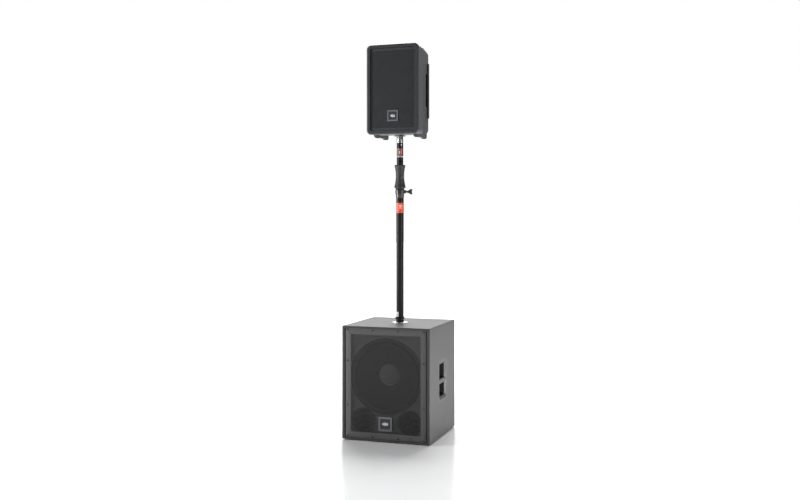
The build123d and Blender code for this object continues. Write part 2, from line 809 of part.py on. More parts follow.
def pole_grip():
    """Waisted rubber hand grip."""
    h = grip_height
    end = lower_tube_radius + 2
    flare = grip_flare_radius
    seat = lower_tube_radius + grip_wall_at_end
    curve = Spline((flare, 9), (grip_waist_radius, h * 0.52), (flare - 1.5, h - 4),
                   tangents=[(-0.25, 1), (0.25, 1)])
    side = Polyline((lower_tube_radius, 0), (end, 0), (flare, 7.5), (flare, 9))
    cap = Polyline((flare - 1.5, h - 4), (flare - 3, h), (seat, h), (seat, h - bush_cap),
                   (lower_tube_radius, h - bush_cap), (lower_tube_radius, 0))
    grip = Pos(0, 0, grip_base) * spun(make_face(side + curve + cap))
    grip -= radial(release_height, 0) * Cylinder(release_radius + loose_clearance, 60, align=low)
    return grip - radial(grip_base + 17, grip_waist_radius + 2) * Cylinder(3.5, 30, align=low)


def pole_guide_bush():
    bore = upper_tube_radius + slide_clearance
    cap_base = grip_top - bush_cap
    sleeve = Pos(0, 0, cap_base - bush_length) * ring(lower_tube_bore, bore, bush_length)
    return sleeve + Pos(0, 0, cap_base) * ring(lower_tube_radius + grip_wall_at_end, bore, bush_cap)


def pole_release_button():
    face = grip_waist_radius + 4
    cap = Cylinder(release_radius, face - lower_tube_radius - release_travel - 0.4, align=high)
    cap = fillet(cap.edges().group_by(Axis.Z)[-1], 1.5)
    stem = Cylinder(pin_hole_radius, face - lower_tube_radius - 0.3, align=high)
    return radial(release_height, face) * (cap + stem)


def pole_upper_tube():
    length = adapter_base - upper_tube_base
    tube = Pos(0, 0, upper_tube_base) * ring(upper_tube_radius, upper_tube_bore, length)
    count = int((adapter_base - 8 - release_height) / pin_hole_pitch)
    highest = release_height + count * pin_hole_pitch
    height = highest
    while height > upper_tube_base + 40:
        tube -= radial(height, 0) * Cylinder(pin_hole_radius, 40, align=low)
        height -= pin_hole_pitch
    return tube


def pole_glide_ring():
    """Sleeve round the upper tube's lower end that keeps it central in the lower tube."""
    outer = lower_tube_bore - slide_clearance
    sleeve = ring(outer, upper_tube_radius, glide_length)
    foot = Pos(0, 0, -glide_foot) * ring(outer, upper_tube_bore, glide_foot)
    return Pos(0, 0, upper_tube_base) * (sleeve + foot)


def pole_top_adapter():
    length = spigot_top - adapter_base
    spigot = Cylinder(upper_tube_radius, length, align=low)
    spigot = chamfer(spigot.edges().group_by(Axis.Z)[-1], 2)
    spigot += Cylinder(upper_tube_bore, 40, align=high)
    return Pos(0, 0, adapter_base) * (spigot - Cylinder(upper_tube_bore - 3, 3 * length))


def pole_wing_screw():
    """Clamp screw with a two-lobed wing, lying along +X."""
    neck = 12
    start = lower_tube_radius - 1
    shank = Cylinder(wing_shank_radius, wing_reach - start - neck, align=low)
    hub = Pos(0, 0, wing_reach - start - 28) * Cylinder(7, 12, align=low)
    half = wing_span / 2
    outline = Polyline((-5, 40 - 28), (-half, 28), (-half + 2, 36), (-4, 33), (4, 33), (half - 2, 36),
                       (half, 28), (5, 40 - 28), close=True)
    wing = extrude(Plane.YZ * make_face(outline), wing_thickness / 2, both=True)
    wing = fillet(wing.edges().filter_by(Axis.X), 1.8)
    wing = fillet(wing.edges().group_by(Axis.X)[0] + wing.edges().group_by(Axis.X)[-1], 1.2)
    wing = Pos(0, 0, wing_reach - start - 36) * wing
    return facing(RIGHT, start, 0, wing_height) * (shank + hub + wing)


# ---- Satellite speaker ----
def shell_solid(inset, front, rear):
    """Outer form of the rear shell, moved inwards by inset."""
    def section(y, half_width, low_z, high_z, corner):
        sketch = RectangleRounded(2 * (half_width - inset), high_z - low_z - 2 * inset, corner - inset)
        return facing(FRONT, 0, y, (low_z + high_z) / 2) * sketch

    half = top_width / 2 - seam_step
    floor, roof = top_base + seam_step, top_base + top_height - seam_step
    tail_half, tail_floor, tail_roof = half - side_taper, floor + floor_taper, roof - roof_taper
    share = (top_rear - rear_round - band_end) / (top_rear - band_end)
    waist = section(top_rear - rear_round, half - side_taper * share, floor + floor_taper * share,
                    roof - roof_taper * share, top_corner)
    tail = section(rear, tail_half - rear_round, tail_floor + rear_round, tail_roof - rear_round,
                   top_corner - rear_round / 2)
    return loft([section(front, half, floor, roof, top_corner),
                 section(band_end, half, floor, roof, top_corner), waist, tail], ruled=True)


def pocket_place():
    """Middle of the handle pocket's mouth on the tapered right side."""
    y = pocket_front + pocket_width / 2
    x = top_width / 2 - seam_step - side_taper * (y - band_end) / (top_rear - band_end)
    return x, y, top_base + handle_middle


def pocket_block(grow, reach):
    """Block for the handle's pocket, its outer side well outside the shell."""
    x, y, z = pocket_place()
    size = (pocket_depth + grow + reach, pocket_width + 2 * grow, pocket_height + 2 * grow)
    return Pos(x - pocket_depth - grow + size[0] / 2, y, z) * Box(*size)


def top_rear_shell():
    body = shell_solid(0, shell_front, top_rear)
    body -= shell_solid(shell_wall, shell_front - 1, top_rear - shell_wall - amp_plate)
    body -= pocket_block(pocket_wall, 40)
    body -= on_top_amp(0, 0) * Box(top_amp_width - 4 * screw_inset, top_amp_height - 4 * screw_inset, 40)
    for place in top_amp_screw_places():
        body += place * Pos(0, 0, -amp_plate) * Cylinder(screw_inset - 2, screw_length - 4, align=high)
    body -= on_top_amp(0, 0) * Box(top_amp_width + 2 * fit_gap, top_amp_height + 2 * fit_gap, 2 * amp_plate)
    body -= Pos(0, 0, top_base) * Cylinder(upper_tube_radius + loose_clearance + shell_wall + fit_gap, 30)
    return with_holes(body, top_amp_screw_places())


def top_handle():
    """Handle moulding: a pocket let into the side, bridged at its rear by a grip bar."""
    cup = pocket_block(pocket_wall, 40) & shell_solid(0, shell_front, top_rear)
    cup -= pocket_block(0, 40)
    x, y, z = pocket_place()
    lean = degrees(atan2(side_taper, top_rear - band_end))
    bar = Box(grip_bar_thickness, grip_bar_width, grip_bar_height,
              align=(Align.MAX, Align.CENTER, Align.CENTER))
    bar = fillet(bar.edges().filter_by(Axis.Z), 5)
    slide = (pocket_width - grip_bar_width) / 2
    bar = Pos(x, y, z) * Rotation(0, 0, lean) * Pos(grip_bar_stand, slide, 0) * bar
    outside = shell_solid(0, shell_front, top_rear) - pocket_block(pocket_wall, 40)
    return cup + (bar - outside)


def top_front_baffle():
    """Front moulding: bezel, recessed baffle and a skirt that slips inside the rear shell."""
    bezel = plate(top_width, top_height, bezel_depth, top_corner)
    bezel = fillet(bezel.edges().group_by(Axis.Z)[-1], 7)
    recess = Pos(0, 0, -1) * plate(top_grille_width, top_grille_height, bezel_depth + 2, top_corner * 0.45)
    bezel -= recess
    inset = seam_step + shell_wall
    reach = top_baffle_face + top_baffle_thickness - bezel_back
    corner = top_corner - shell_wall
    skirt = plate(top_width - 2 * inset, top_height - 2 * inset, reach + 8, corner)
    skirt = Pos(0, 0, -reach - 8) * skirt
    hollow = plate(top_width - 2 * inset - 6, top_height - 2 * inset - 6, 20, corner - 3)
    skirt -= Pos(0, 0, -reach - 20) * hollow
    mouth = plate(top_grille_width, top_grille_height, 30, top_corner * 0.45)
    skirt -= Pos(0, 0, bezel_back - top_baffle_face) * mouth
    body = facing(FRONT, 0, bezel_back, top_middle) * (bezel + skirt)
    woofer_place = facing(FRONT, 0, top_baffle_face, top_base + top_woofer_height)
    body -= woofer_place * Cylinder(top_driver.hole_radius, 40)
    mouth = plate(horn_mouth_width + 2 * horn_wall + 1, horn_mouth_height + 2 * horn_wall + 1, 40, 10)
    body -= facing(FRONT, 0, top_baffle_face + 20, top_base + horn_height) * mouth
    for x in (-top_port_spacing / 2, top_port_spacing / 2):
        port = Cylinder(top_port_radius + 2.5, 40)
        body -= facing(FRONT, x, top_baffle_face, top_base + top_port_height) * port
    return with_holes(body, top_bolts)


def top_grille():
    sheet = plate(top_grille_width - 2, top_grille_height - 2, top_grille_sheet, top_corner * 0.45 - 1)
    return facing(FRONT, 0, top_grille_front + top_grille_sheet, top_middle) * sheet


def top_horn():
    """Horn from the baffle back to the compression driver."""
    def section(width, height, depth, corner):
        return Pos(0, 0, -depth) * RectangleRounded(width, height, corner)

    w = horn_wall
    throat = 2 * throat_radius
    outside = loft([section(horn_mouth_width + 2 * w, horn_mouth_height + 2 * w, 0, 10),
                    section(throat + 2 * w + 24, throat + 2 * w + 6, horn_depth * 0.6, 10),
                    section(throat + 2 * w, throat + 2 * w, horn_depth, throat / 2)], ruled=True)
    inside = loft([section(horn_mouth_width, horn_mouth_height, 0, 8),
                   section(throat + 24, throat + 6, horn_depth * 0.6, 8),
                   section(throat, throat, horn_depth, throat / 2 - 0.5)], ruled=True)
    flange = plate(horn_mouth_width + 2 * horn_flange, horn_mouth_height + 2 * horn_flange, 3, 12)
    flange -= plate(horn_mouth_width, horn_mouth_height, 3, 8)
    return facing(FRONT, 0, top_baffle_face, top_base + horn_height) * ((outside - inside) + flange)


def top_compression_driver():
    body = Cylinder(compression_radius, compression_depth, align=high)
    body = fillet(body.edges().group_by(Axis.Z)[0], 5)
    body -= Cylinder(throat_radius, 18, align=high)
    return facing(FRONT, 0, top_baffle_face + horn_depth, top_base + horn_height) * body


def top_pole_socket():
    bore = upper_tube_radius + loose_clearance
    cup = Cylinder(bore + shell_wall, socket_depth + 4, align=low)
    flange = Cylinder(bore + 14, 2, align=high)
    cup = Pos(0, 0, seam_step) * cup + Pos(0, 0, seam_step) * flange
    cup -= Pos(0, 0, -2) * Cylinder(bore, socket_depth + 2.5, align=low)
    return Pos(0, 0, top_base) * cup


def top_ports():
    tube = Pos(0, 0, -top_port_length) * ring(top_port_radius + 2, top_port_radius, top_port_length + 2)
    tube += ring(top_port_radius + top_port_flange, top_port_radius, 2)
    return group([facing(FRONT, x, top_baffle_face, top_base + top_port_height) * tube
                  for x in (-top_port_spacing / 2, top_port_spacing / 2)])


def top_rails():
    """Two runners moulded under the speaker."""
    start = shell_front + rail_inset
    length = top_rear - rail_inset * 0.6 - start
    side = top_width / 2 - rail_inset
    rail_rise = seam_step + floor_taper + shell_wall
    rails = []
    for x in (-side, side):
        rail = Box(rail_width, length, rail_drop + rail_rise, align=(Align.CENTER, Align.MIN, Align.MIN))
        rail = Pos(x, start, top_base - rail_drop) * rail
        rail = chamfer(rail.edges().group_by(Axis.Z)[0].filter_by(Axis.X), rail_drop * 0.9)
        rails.append(rail - shell_solid(0, shell_front, top_rear))
    return group(rails)


def top_feet():
    """Rubber pads near the ends of the runners."""
    side = top_width / 2 - rail_inset
    front = shell_front + rail_inset + rail_drop + pad_length / 2
    rear = top_rear - rail_inset * 0.6 - rail_drop - pad_length / 2
    pad = plate(rail_width - 2, pad_length, pad_thickness, rail_width * 0.4)
    lowest = top_base - rail_drop - pad_thickness
    return group([Pos(x, y, lowest) * pad for x in (-side, side) for y in (front, rear)])


def on_top_amp(x, z):
    return facing(BACK, x, top_rear, top_middle + z)


top_pair = (-top_jack_across, top_jack_across)
top_jack_places = [on_top_amp(x, top_amp_height / 2 - top_jack_drop) for x in top_pair]
top_knob_places = [on_top_amp(x, top_amp_height / 2 - top_knob_drop) for x in top_pair]
top_inlet_place = on_top_amp(top_inlet_across, top_power_rise - top_amp_height / 2)
top_rocker_place = on_top_amp(top_rocker_across, top_power_rise - top_amp_height / 2)


def top_amp_panel():
    body = Pos(0, 0, -amp_plate) * plate(top_amp_width, top_amp_height, amp_plate, 3)
    for fin in fins(top_amp_width - 30, top_amp_height * top_fin_share):
        body += Pos(0, -30, 0) * fin
    body = on_top_amp(0, 0) * body
    for place in top_jack_places:
        body -= place * jack_cutout()
    for place in top_knob_places:
        body -= place * shaft_cutout(knob_shaft_radius)
    body -= top_inlet_place * inlet_cutout()
    body -= top_rocker_place * rocker_cutout()
    return with_holes(body, top_amp_screw_places())


def top_screws():
    return group([p * screw() for p in top_amp_screw_places() + top_bolts])


# ---- Make every sub-part ----
sub_bolts = driver_bolt_places(sub_driver, 0, baffle_face, woofer_height)
top_bolts = driver_bolt_places(top_driver, 0, top_baffle_face, top_base + top_woofer_height)


def make_subwoofer():
    parts["sub_cabinet"] = sub_cabinet()
    parts["sub_back_panel"] = sub_back_panel()
    parts["sub_baffle"] = sub_baffle()
    parts["sub_brace"] = sub_brace()
    parts["sub_port_tubes"] = sub_ports()
    parts["sub_grille"] = sub_grille()
    parts["sub_badge"] = facing(FRONT, 0, grille_front, sub_badge_height) * badge(sub_badge_size)
    parts["sub_screws"] = sub_screws()
    add_driver("sub", sub_driver, facing(FRONT, 0, baffle_face, woofer_height), sub_bolts)
    parts["sub_handle_right"] = handle(RIGHT)
    parts["sub_handle_left"] = handle(LEFT)
    parts["sub_feet"] = sub_feet()
    parts["sub_amp_panel"] = sub_amp_panel()
    board = circuit_board(amp_width - 2 * amp_board_side, amp_height - 2 * amp_board_end,
                          [34, 20, 42, 26], board_stand)
    parts["sub_amp_board"] = facing(BACK, 0, back_face - board_stand, cabinet_middle) * board
    sockets = [p * jack() for p in sub_jack_places] + [sub_inlet_place * inlet()]
    parts["sub_sockets"] = group(sockets)
    parts["sub_level_knob"] = sub_knob_place * Pos(0, 0, knob_lift) * knob()
    parts["sub_polarity_button"] = sub_button_place * button()
    parts["sub_power_rocker"] = sub_rocker_place * rocker()


def make_pole():
    parts["pole_cup"] = pole_cup()
    parts["pole_base_plug"] = pole_base_plug()
    parts["pole_lower_tube"] = pole_lower_tube()
    parts["pole_collar"] = pole_collar()
    parts["pole_grip"] = pole_grip()
    parts["pole_guide_bush"] = pole_guide_bush()
    parts["pole_release_button"] = pole_release_button()
    parts["pole_wing_screw"] = pole_wing_screw()
    parts["pole_upper_tube"] = pole_upper_tube()
    parts["pole_glide_ring"] = pole_glide_ring()
    parts["pole_top_adapter"] = pole_top_adapter()


def make_speaker():
    parts["top_front_baffle"] = top_front_baffle()
    parts["top_rear_shell"] = top_rear_shell()
    parts["top_grille"] = top_grille()
    badge_place = facing(FRONT, 0, top_grille_front, top_base + top_badge_height)
    parts["top_badge"] = badge_place * badge(top_badge_size)
    woofer_place = facing(FRONT, 0, top_baffle_face, top_base + top_woofer_height)
    add_driver("top", top_driver, woofer_place, top_bolts)
    parts["top_horn"] = top_horn()
    parts["top_compression_driver"] = top_compression_driver()
    parts["top_port_tubes"] = top_ports()
    parts["top_pole_socket"] = top_pole_socket()
    parts["top_handle"] = top_handle()
    parts["top_rails"] = top_rails()
    parts["top_feet"] = top_feet()
    parts["top_amp_panel"] = top_amp_panel()
    board = circuit_board(top_amp_width - 2 * top_board_side, top_amp_height - 2 * top_board_end,
                          [26, 18, 30], board_stand)
    parts["top_amp_board"] = facing(BACK, 0, top_rear - amp_plate - board_stand, top_middle) * board
    sockets = [p * jack() for p in top_jack_places] + [top_inlet_place * inlet()]
    parts["top_sockets"] = group(sockets)
    for number, place in enumerate(top_knob_places, start=1):
        parts[f"top_level_knob_{number}"] = place * Pos(0, 0, knob_lift) * knob()
    parts["top_power_rocker"] = top_rocker_place * rocker()
    parts["top_screws"] = top_screws()


make_subwoofer()
make_pole()
make_speaker()
os.makedirs("parts", exist_ok=True)
for name, shape in parts.items():
    export_step(shape, f"parts/{name}.step")
print(len(parts), "parts written")
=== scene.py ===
import json
import math
import bmesh
import bpy
from mathutils import Matrix, Vector


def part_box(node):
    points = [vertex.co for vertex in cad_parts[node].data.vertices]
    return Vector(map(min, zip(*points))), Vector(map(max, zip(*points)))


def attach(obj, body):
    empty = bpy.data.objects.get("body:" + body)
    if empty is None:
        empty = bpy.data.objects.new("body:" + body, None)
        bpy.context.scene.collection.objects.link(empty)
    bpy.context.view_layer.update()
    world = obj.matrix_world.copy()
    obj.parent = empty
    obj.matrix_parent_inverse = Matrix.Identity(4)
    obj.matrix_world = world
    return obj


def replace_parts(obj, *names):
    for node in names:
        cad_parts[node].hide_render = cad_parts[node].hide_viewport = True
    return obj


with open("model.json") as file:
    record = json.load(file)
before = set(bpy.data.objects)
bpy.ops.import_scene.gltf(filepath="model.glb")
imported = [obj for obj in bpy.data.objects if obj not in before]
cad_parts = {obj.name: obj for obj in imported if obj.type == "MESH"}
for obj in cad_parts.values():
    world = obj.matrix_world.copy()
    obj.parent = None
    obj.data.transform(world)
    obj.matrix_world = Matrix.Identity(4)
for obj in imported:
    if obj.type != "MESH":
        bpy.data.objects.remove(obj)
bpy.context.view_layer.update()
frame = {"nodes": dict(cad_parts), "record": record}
cadNodes = frame["nodes"]
mm = 0.001
print("frame loaded with", len(cadNodes), "nodes")


# camera, lights and floor

cameraSettings = {"distance": 5.018, "turn": 18.55, "height": 1.125, "lens": 42.75, "shift": -0.0375,
                  "sensor": 36, "farthest": 200}
# glowFrom, glowTo and glow set painted light: a glow the floor gives off, rising with distance from the
# object
floorSettings = {"size": 80.0, "color": (0.88, 0.88, 0.88), "patch": 1.7, "roughness": 0.16, "uneven": 0.02,
                 "glowFrom": 0.9, "glowTo": 4.0, "glow": (0.75, 0.75, 0.75)}
worldSettings = {"backdrop": (1.0, 1.0, 1.0), "behind": (1.7, 1.7, 1.7), "around": (0.19, 0.195, 0.205),
                 "turn": 18.55, "from": 0.78, "to": 0.97}
lampSettings = {
    "keyLeft": {"place": (-3.6, -2.4, 1.7), "aim": (0, 0, 0.7), "size": (1.4, 2.4), "power": 150},
    "rightLow": {"place": (1.2, 0.2, 0.1), "aim": (0.2, 0.05, 0.08), "size": (1.3, 0.12), "power": 9},
    "rightEdge": {"place": (3.4, -1.1, 1.6), "aim": (0, 0, 1.4), "size": (0.5, 2.4), "power": 30},
    "topBack": {"place": (-0.5, 2.2, 3.9), "aim": (0, 0, 0.3), "size": (3.2, 2.2), "power": 260},
}


def makeCamera():
    data = bpy.data.cameras.new("mainCamera")
    camera = bpy.data.objects.new("mainCamera", data)
    bpy.context.scene.collection.objects.link(camera)
    turn = math.radians(cameraSettings["turn"])
    reach = cameraSettings["distance"]
    camera.location = (reach * math.sin(turn), -reach * math.cos(turn), cameraSettings["height"])
    camera.rotation_euler = (math.radians(90), 0, turn)
    data.lens = cameraSettings["lens"]
    data.sensor_width = cameraSettings["sensor"]
    data.shift_y = cameraSettings["shift"]
    data.clip_end = cameraSettings["farthest"]
    bpy.context.scene.camera = camera


def makeLamp(name, place, aim, size, power):
    data = bpy.data.lights.new(name, "AREA")
    data.shape = "RECTANGLE"
    data.size, data.size_y = size
    data.energy = power
    lamp = bpy.data.objects.new(name, data)
    lamp.location = place
    lamp.visible_camera = False
    lamp.rotation_euler = (Vector(aim) - Vector(place)).to_track_quat("-Z", "Y").to_euler()
    bpy.context.scene.collection.objects.link(lamp)


def makeWorld():  # white backdrop, with light mostly from behind the object
    world = bpy.data.worlds.new("studio")
    world.use_nodes = True
    nodes, links = world.node_tree.nodes, world.node_tree.links

    def blend(first, second):
        node = nodes.new("ShaderNodeMix")
        node.data_type = "RGBA"
        node.inputs[6].default_value = (*first, 1)
        node.inputs[7].default_value = (*second, 1)
        return node

    place = nodes.new("ShaderNodeTexCoord")
    turned = nodes.new("ShaderNodeMapping")
    turned.inputs["Rotation"].default_value = (0, 0, -math.radians(worldSettings["turn"]))
    split = nodes.new("ShaderNodeSeparateXYZ")
    share = nodes.new("ShaderNodeMapRange")
    share.interpolation_type = "SMOOTHSTEP"
    share.inputs["From Min"].default_value = worldSettings["from"]
    share.inputs["From Max"].default_value = worldSettings["to"]
    lighting = blend(worldSettings["around"], worldSettings["behind"])
    seen = blend(worldSettings["around"], worldSettings["backdrop"])
    rays = nodes.new("ShaderNodeLightPath")
    links.new(place.outputs["Object"], turned.inputs["Vector"])
    links.new(turned.outputs["Vector"], split.inputs["Vector"])
    links.new(split.outputs["Y"], share.inputs["Value"])
    links.new(share.outputs["Result"], lighting.inputs["Factor"])
    links.new(rays.outputs["Is Camera Ray"], seen.inputs["Factor"])
    links.new(lighting.outputs[2], seen.inputs[6])
    links.new(seen.outputs[2], nodes["Background"].inputs["Color"])
    bpy.context.scene.world = world
    bpy.context.scene.view_settings.view_transform = "Standard"


makeCamera()
for lampName, lamp in lampSettings.items():
    makeLamp(lampName, **lamp)
makeWorld()
print("camera and lights placed")


# materials

class Wire:  # one socket of a material, which adds Math nodes when it is used in a sum
    def __init__(self, shop, socket):
        self.shop, self.socket = shop, socket

    def sum(self, operation, *values):
        return self.shop.add("ShaderNodeMath", {"operation": operation}, dict(enumerate(values)))

    def __add__(self, other):
        return self.sum("ADD", self, other)

    def __radd__(self, other):
        return self.sum("ADD", other, self)

    def __sub__(self, other):
        return self.sum("SUBTRACT", self, other)

    def __rsub__(self, other):
        return self.sum("SUBTRACT", other, self)

    def __mul__(self, other):
        return self.sum("MULTIPLY", self, other)

    def __rmul__(self, other):
        return self.sum("MULTIPLY", other, self)

    def __truediv__(self, other):
        return self.sum("DIVIDE", self, other)

    def __pow__(self, other):
        return self.sum("POWER", self, other)

    def above(self, edge):
        return self.sum("GREATER_THAN", self, edge)

    def below(self, edge):
        return self.sum("LESS_THAN", self, edge)

    def sine(self):
        return self.sum("SINE", self)

    def size(self):
        return self.sum("ABSOLUTE", self)


class Finish:  # a material and the nodes in it
    def __init__(self, name, **sockets):
        self.material = bpy.data.materials.new(name)
        self.material.use_nodes = True
        self.nodes = self.material.node_tree.nodes
        self.links = self.material.node_tree.links
        self.shader = self.nodes["Principled BSDF"]
        self.place = self.add("ShaderNodeTexCoord", out="Object")
        for socket, value in sockets.items():
            self.set(socket, value)

    def add(self, kind, settings=None, values=None, out=0):
        node = self.nodes.new(kind)
        settings = dict(settings or {})
        stops = settings.pop("stops", None)
        for key, value in settings.items():
            setattr(node, key, value)
        if stops:
            ramp = node.color_ramp.elements
            while len(ramp) < len(stops):
                ramp.new(0.5)
            for element, (position, color) in zip(ramp, stops):
                element.position, element.color = position, (*color, 1)
        for key, value in (values or {}).items():
            self.feed(node.inputs[key], value)
        return Wire(self, node.outputs[out])

    def feed(self, socket, value):
        if isinstance(value, Wire):
            self.links.new(value.socket, socket)
        elif socket.type == "RGBA":
            socket.default_value = (*value, 1) if len(value) == 3 else value
        else:
            socket.default_value = value

    def set(self, name, value):
        self.feed(self.shader.inputs[name.replace("_", " ")], value)

    def split(self):
        node = self.add("ShaderNodeSeparateXYZ", values={0: self.place}).socket.node
        return [Wire(self, socket) for socket in node.outputs]

    def noise(self, size, detail):  # size of the grain in metres
        values = {"Vector": self.place, "Scale": 1 / size, "Detail": detail}
        return self.add("ShaderNodeTexNoise", None, values, "Fac")

    def cells(self, size):
        values = {"Vector": self.place, "Scale": 1 / size}
        return self.add("ShaderNodeTexVoronoi", {"feature": "F1"}, values, "Distance")

    def streaks(self, stretch, detail):  # noise drawn out along one axis
        drawn = self.add("ShaderNodeMapping", None, {"Vector": self.place, "Scale": stretch})
        values = {"Vector": drawn, "Scale": 1.0, "Detail": detail}
        return self.add("ShaderNodeTexNoise", None, values, "Fac")

    def mix(self, mask, first, second):
        node = self.add("ShaderNodeMix", {"data_type": "RGBA"}, {"Factor": mask}).socket.node
        self.feed(node.inputs[6], first)
        self.feed(node.inputs[7], second)
        return Wire(self, node.outputs[2])

    def ramp(self, value, *stops):
        return self.add("ShaderNodeValToRGB", {"stops": stops}, {"Fac": value})

    def bump(self, height, depth, strength=0.6):  # depth in metres
        values = {"Height": height, "Distance": depth, "Strength": strength}
        self.set("Normal", self.add("ShaderNodeBump", None, values))


def tinted(color, share):
    return tuple(channel * share for channel in color)


def grained(name, color, roughness, grain, depth, mottle=0.15, patch=0.09, **sockets):
    # moulded or painted surface: fine grain in the bump, slow patches in colour and gloss
    finish = Finish(name, **sockets)
    fine = finish.noise(grain, 3)
    slow = finish.noise(patch, 2)
    mottled = slow * 0.7 + fine * 0.3
    finish.set("Base Color", finish.mix(mottled, tinted(color, 1 - mottle), tinted(color, 1 + mottle)))
    finish.set("Roughness", roughness - 0.04 + slow * 0.08 + fine * 0.05)
    finish.bump(fine, depth)
    return finish.material


def texturedPaint():  # tough paint rolled over plywood, with small raised spots
    look = {"base": (0.05, 0.05, 0.05), "spot": 1.6 * mm, "grain": 0.5 * mm, "patch": 0.12,
            "roughness": 0.38, "height": 0.07 * mm}
    finish = Finish("texturedPaint", Specular_IOR_Level=0.36)
    spots = finish.cells(look["spot"])
    fine = finish.noise(look["grain"], 3)
    slow = finish.noise(look["patch"], 2)
    worn = spots.below(0.16) * 0.25
    color = finish.mix(slow * 0.6 + worn, tinted(look["base"], 0.82), tinted(look["base"], 1.25))
    finish.set("Base Color", color)
    finish.set("Roughness", look["roughness"] + spots * 0.1 + slow * 0.05)
    finish.bump(1 - spots + fine * 0.3, look["height"], 0.55)
    return finish.material


def powderCoat(name, color, roughness):
    return grained(name, color, roughness, 0.6 * mm, 0.03 * mm, 0.12, 0.15)


def brushedMetal(name, color, roughness, along):  # fine lines along one axis
    finish = Finish(name, Metallic=1.0)
    stretch = {"x": (8, 900, 900), "y": (900, 8, 900), "round": (14, 14, 1400)}
    streaks = finish.streaks(stretch[along], 2.0)
    finish.set("Base Color", finish.mix(streaks, tinted(color, 0.78), tinted(color, 1.1)))
    finish.set("Roughness", roughness - 0.06 + streaks * 0.14)
    finish.bump(streaks, 0.04 * mm, 0.3)
    return finish.material


def paperCone(name, color, centre):  # pressed pulp with fibres round the middle
    look = {"fibre": 2.2 * mm, "patch": 0.05, "ring": 0.021, "depth": 0.5 * mm}
    finish = Finish(name, Roughness=0.75)
    x, _, z = finish.split()
    across, up = x - centre[0], z - centre[1]
    reach = (across * across + up * up) ** 0.5
    fibres = finish.noise(look["fibre"], 4)
    slow = finish.noise(look["patch"], 2)
    rings = (reach * (2 * math.pi / look["ring"])).sine() * 0.5 + 0.5
    finish.set("Base Color", finish.mix(fibres * 0.6 + slow * 0.4, tinted(color, 0.75), tinted(color, 1.3)))
    finish.bump(fibres * 0.4 + rings * rings * rings * 0.6, look["depth"], 0.5)
    return finish.material


def litAndShadedHandle(name, node, side):  # black dish painted near-black as shade in its recess, with the rim and bar near the outer face painted paler as a highlight
    look = {"rim": 8.5 * mm, "grain": 1.0 * mm, "patch": 0.06,
            "dark": ((0.003, 0.003, 0.003), (0.006, 0.006, 0.006)),
            "pale": ((0.045, 0.045, 0.044), (0.06, 0.06, 0.059))}
    finish = Finish(name, Specular_IOR_Level=0.35)
    low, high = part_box(node)
    face = high.x if side > 0 else -low.x
    x, _, _ = finish.split()
    rim = (face - x * side).below(look["rim"])
    fine, slow = finish.noise(look["grain"], 3), finish.noise(look["patch"], 2)
    # dark is painted shade inside the dish; pale is a painted highlight on the rim and bar within
    # look["rim"] of the outer face
    dark, pale = finish.mix(slow, *look["dark"]), finish.mix(slow, *look["pale"])
    finish.set("Base Color", finish.mix(rim, dark, pale))
    finish.set("Roughness", 0.5 - rim * 0.14 + fine * 0.08)
    finish.bump(fine, 0.07 * mm)
    return finish.material


def bandedShell():  # rear moulding: lighter blue-grey band behind the seam, a painted reflection of a bluish light on the shell's flat part; darker tail behind, with a darker groove at the ridge between
    band = {"end": 76 * mm, "ridge": 3 * mm, "band": (0.05, 0.057, 0.073), "tail": (0.02, 0.02, 0.0195),
            "groove": (0.008, 0.008, 0.008), "dust": (0.05, 0.05, 0.05), "grain": 0.9 * mm, "patch": 0.09}
    finish = Finish("bandedShell", Specular_IOR_Level=0.22)
    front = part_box("top_rear_shell")[0].y
    _, y, _ = finish.split()
    behind = (y - front).above(band["end"])
    ridge = (y - front - band["end"]).size().below(band["ridge"])
    fine, slow = finish.noise(band["grain"], 3), finish.noise(band["patch"], 2)
    # painted reflection: the blue-grey band colour in front of band["end"], the tail's own colour behind it
    shade = finish.mix(behind, band["band"], band["tail"])
    shade = finish.mix(ridge * 0.7, shade, band["groove"])
    finish.set("Base Color", finish.mix(slow * 0.2 + fine * 0.12, shade, band["dust"]))
    finish.set("Roughness", 0.42 + behind * 0.2 + fine * 0.06)
    finish.bump(fine, 0.08 * mm)
    return finish.material


def wovenCloth(name, color, thread):
    finish = Finish(name, Roughness=0.85)
    x, _, z = finish.split()
    over = ((x * (math.pi / thread)).sine() * (z * (math.pi / thread)).sine()).size()
    fine = finish.noise(1.5 * mm, 3)
    finish.set("Base Color", finish.mix(over * 0.6 + fine * 0.4, tinted(color, 0.7), tinted(color, 1.25)))
    finish.bump(over + fine * 0.3, 0.2 * mm, 0.6)
    return finish.material


def plywood():
    look = {"ply": 3.2 * mm, "stretch": (140, 500, 9), "light": (0.62, 0.47, 0.3),
            "dark": (0.36, 0.24, 0.13)}
    finish = Finish("plywood", Roughness=0.6)
    _, y, _ = finish.split()
    plies = (y * (2 * math.pi / look["ply"])).sine().above(0)
    grain = finish.streaks(look["stretch"], 4.0)
    finish.set("Base Color", finish.mix(grain * 0.7 + plies * 0.3, look["light"], look["dark"]))
    finish.bump(grain, 0.2 * mm, 0.4)
    return finish.material


def circuitGreen():
    look = {"across": 420, "up": 170, "block": 22 * mm, "board": (0.01, 0.09, 0.035),
            "track": (0.04, 0.16, 0.06)}
    finish = Finish("circuitBoard", Roughness=0.45)
    x, _, z = finish.split()
    tracks = (x * look["across"]).sine().above(0.6) * (z * look["up"]).sine().above(-0.2)
    blocks = finish.cells(look["block"]).above(0.42)
    finish.set("Base Color", finish.mix(tracks * 0.5 + blocks * 0.5, look["board"], look["track"]))
    finish.bump(tracks, 0.1 * mm, 0.5)
    return finish.material


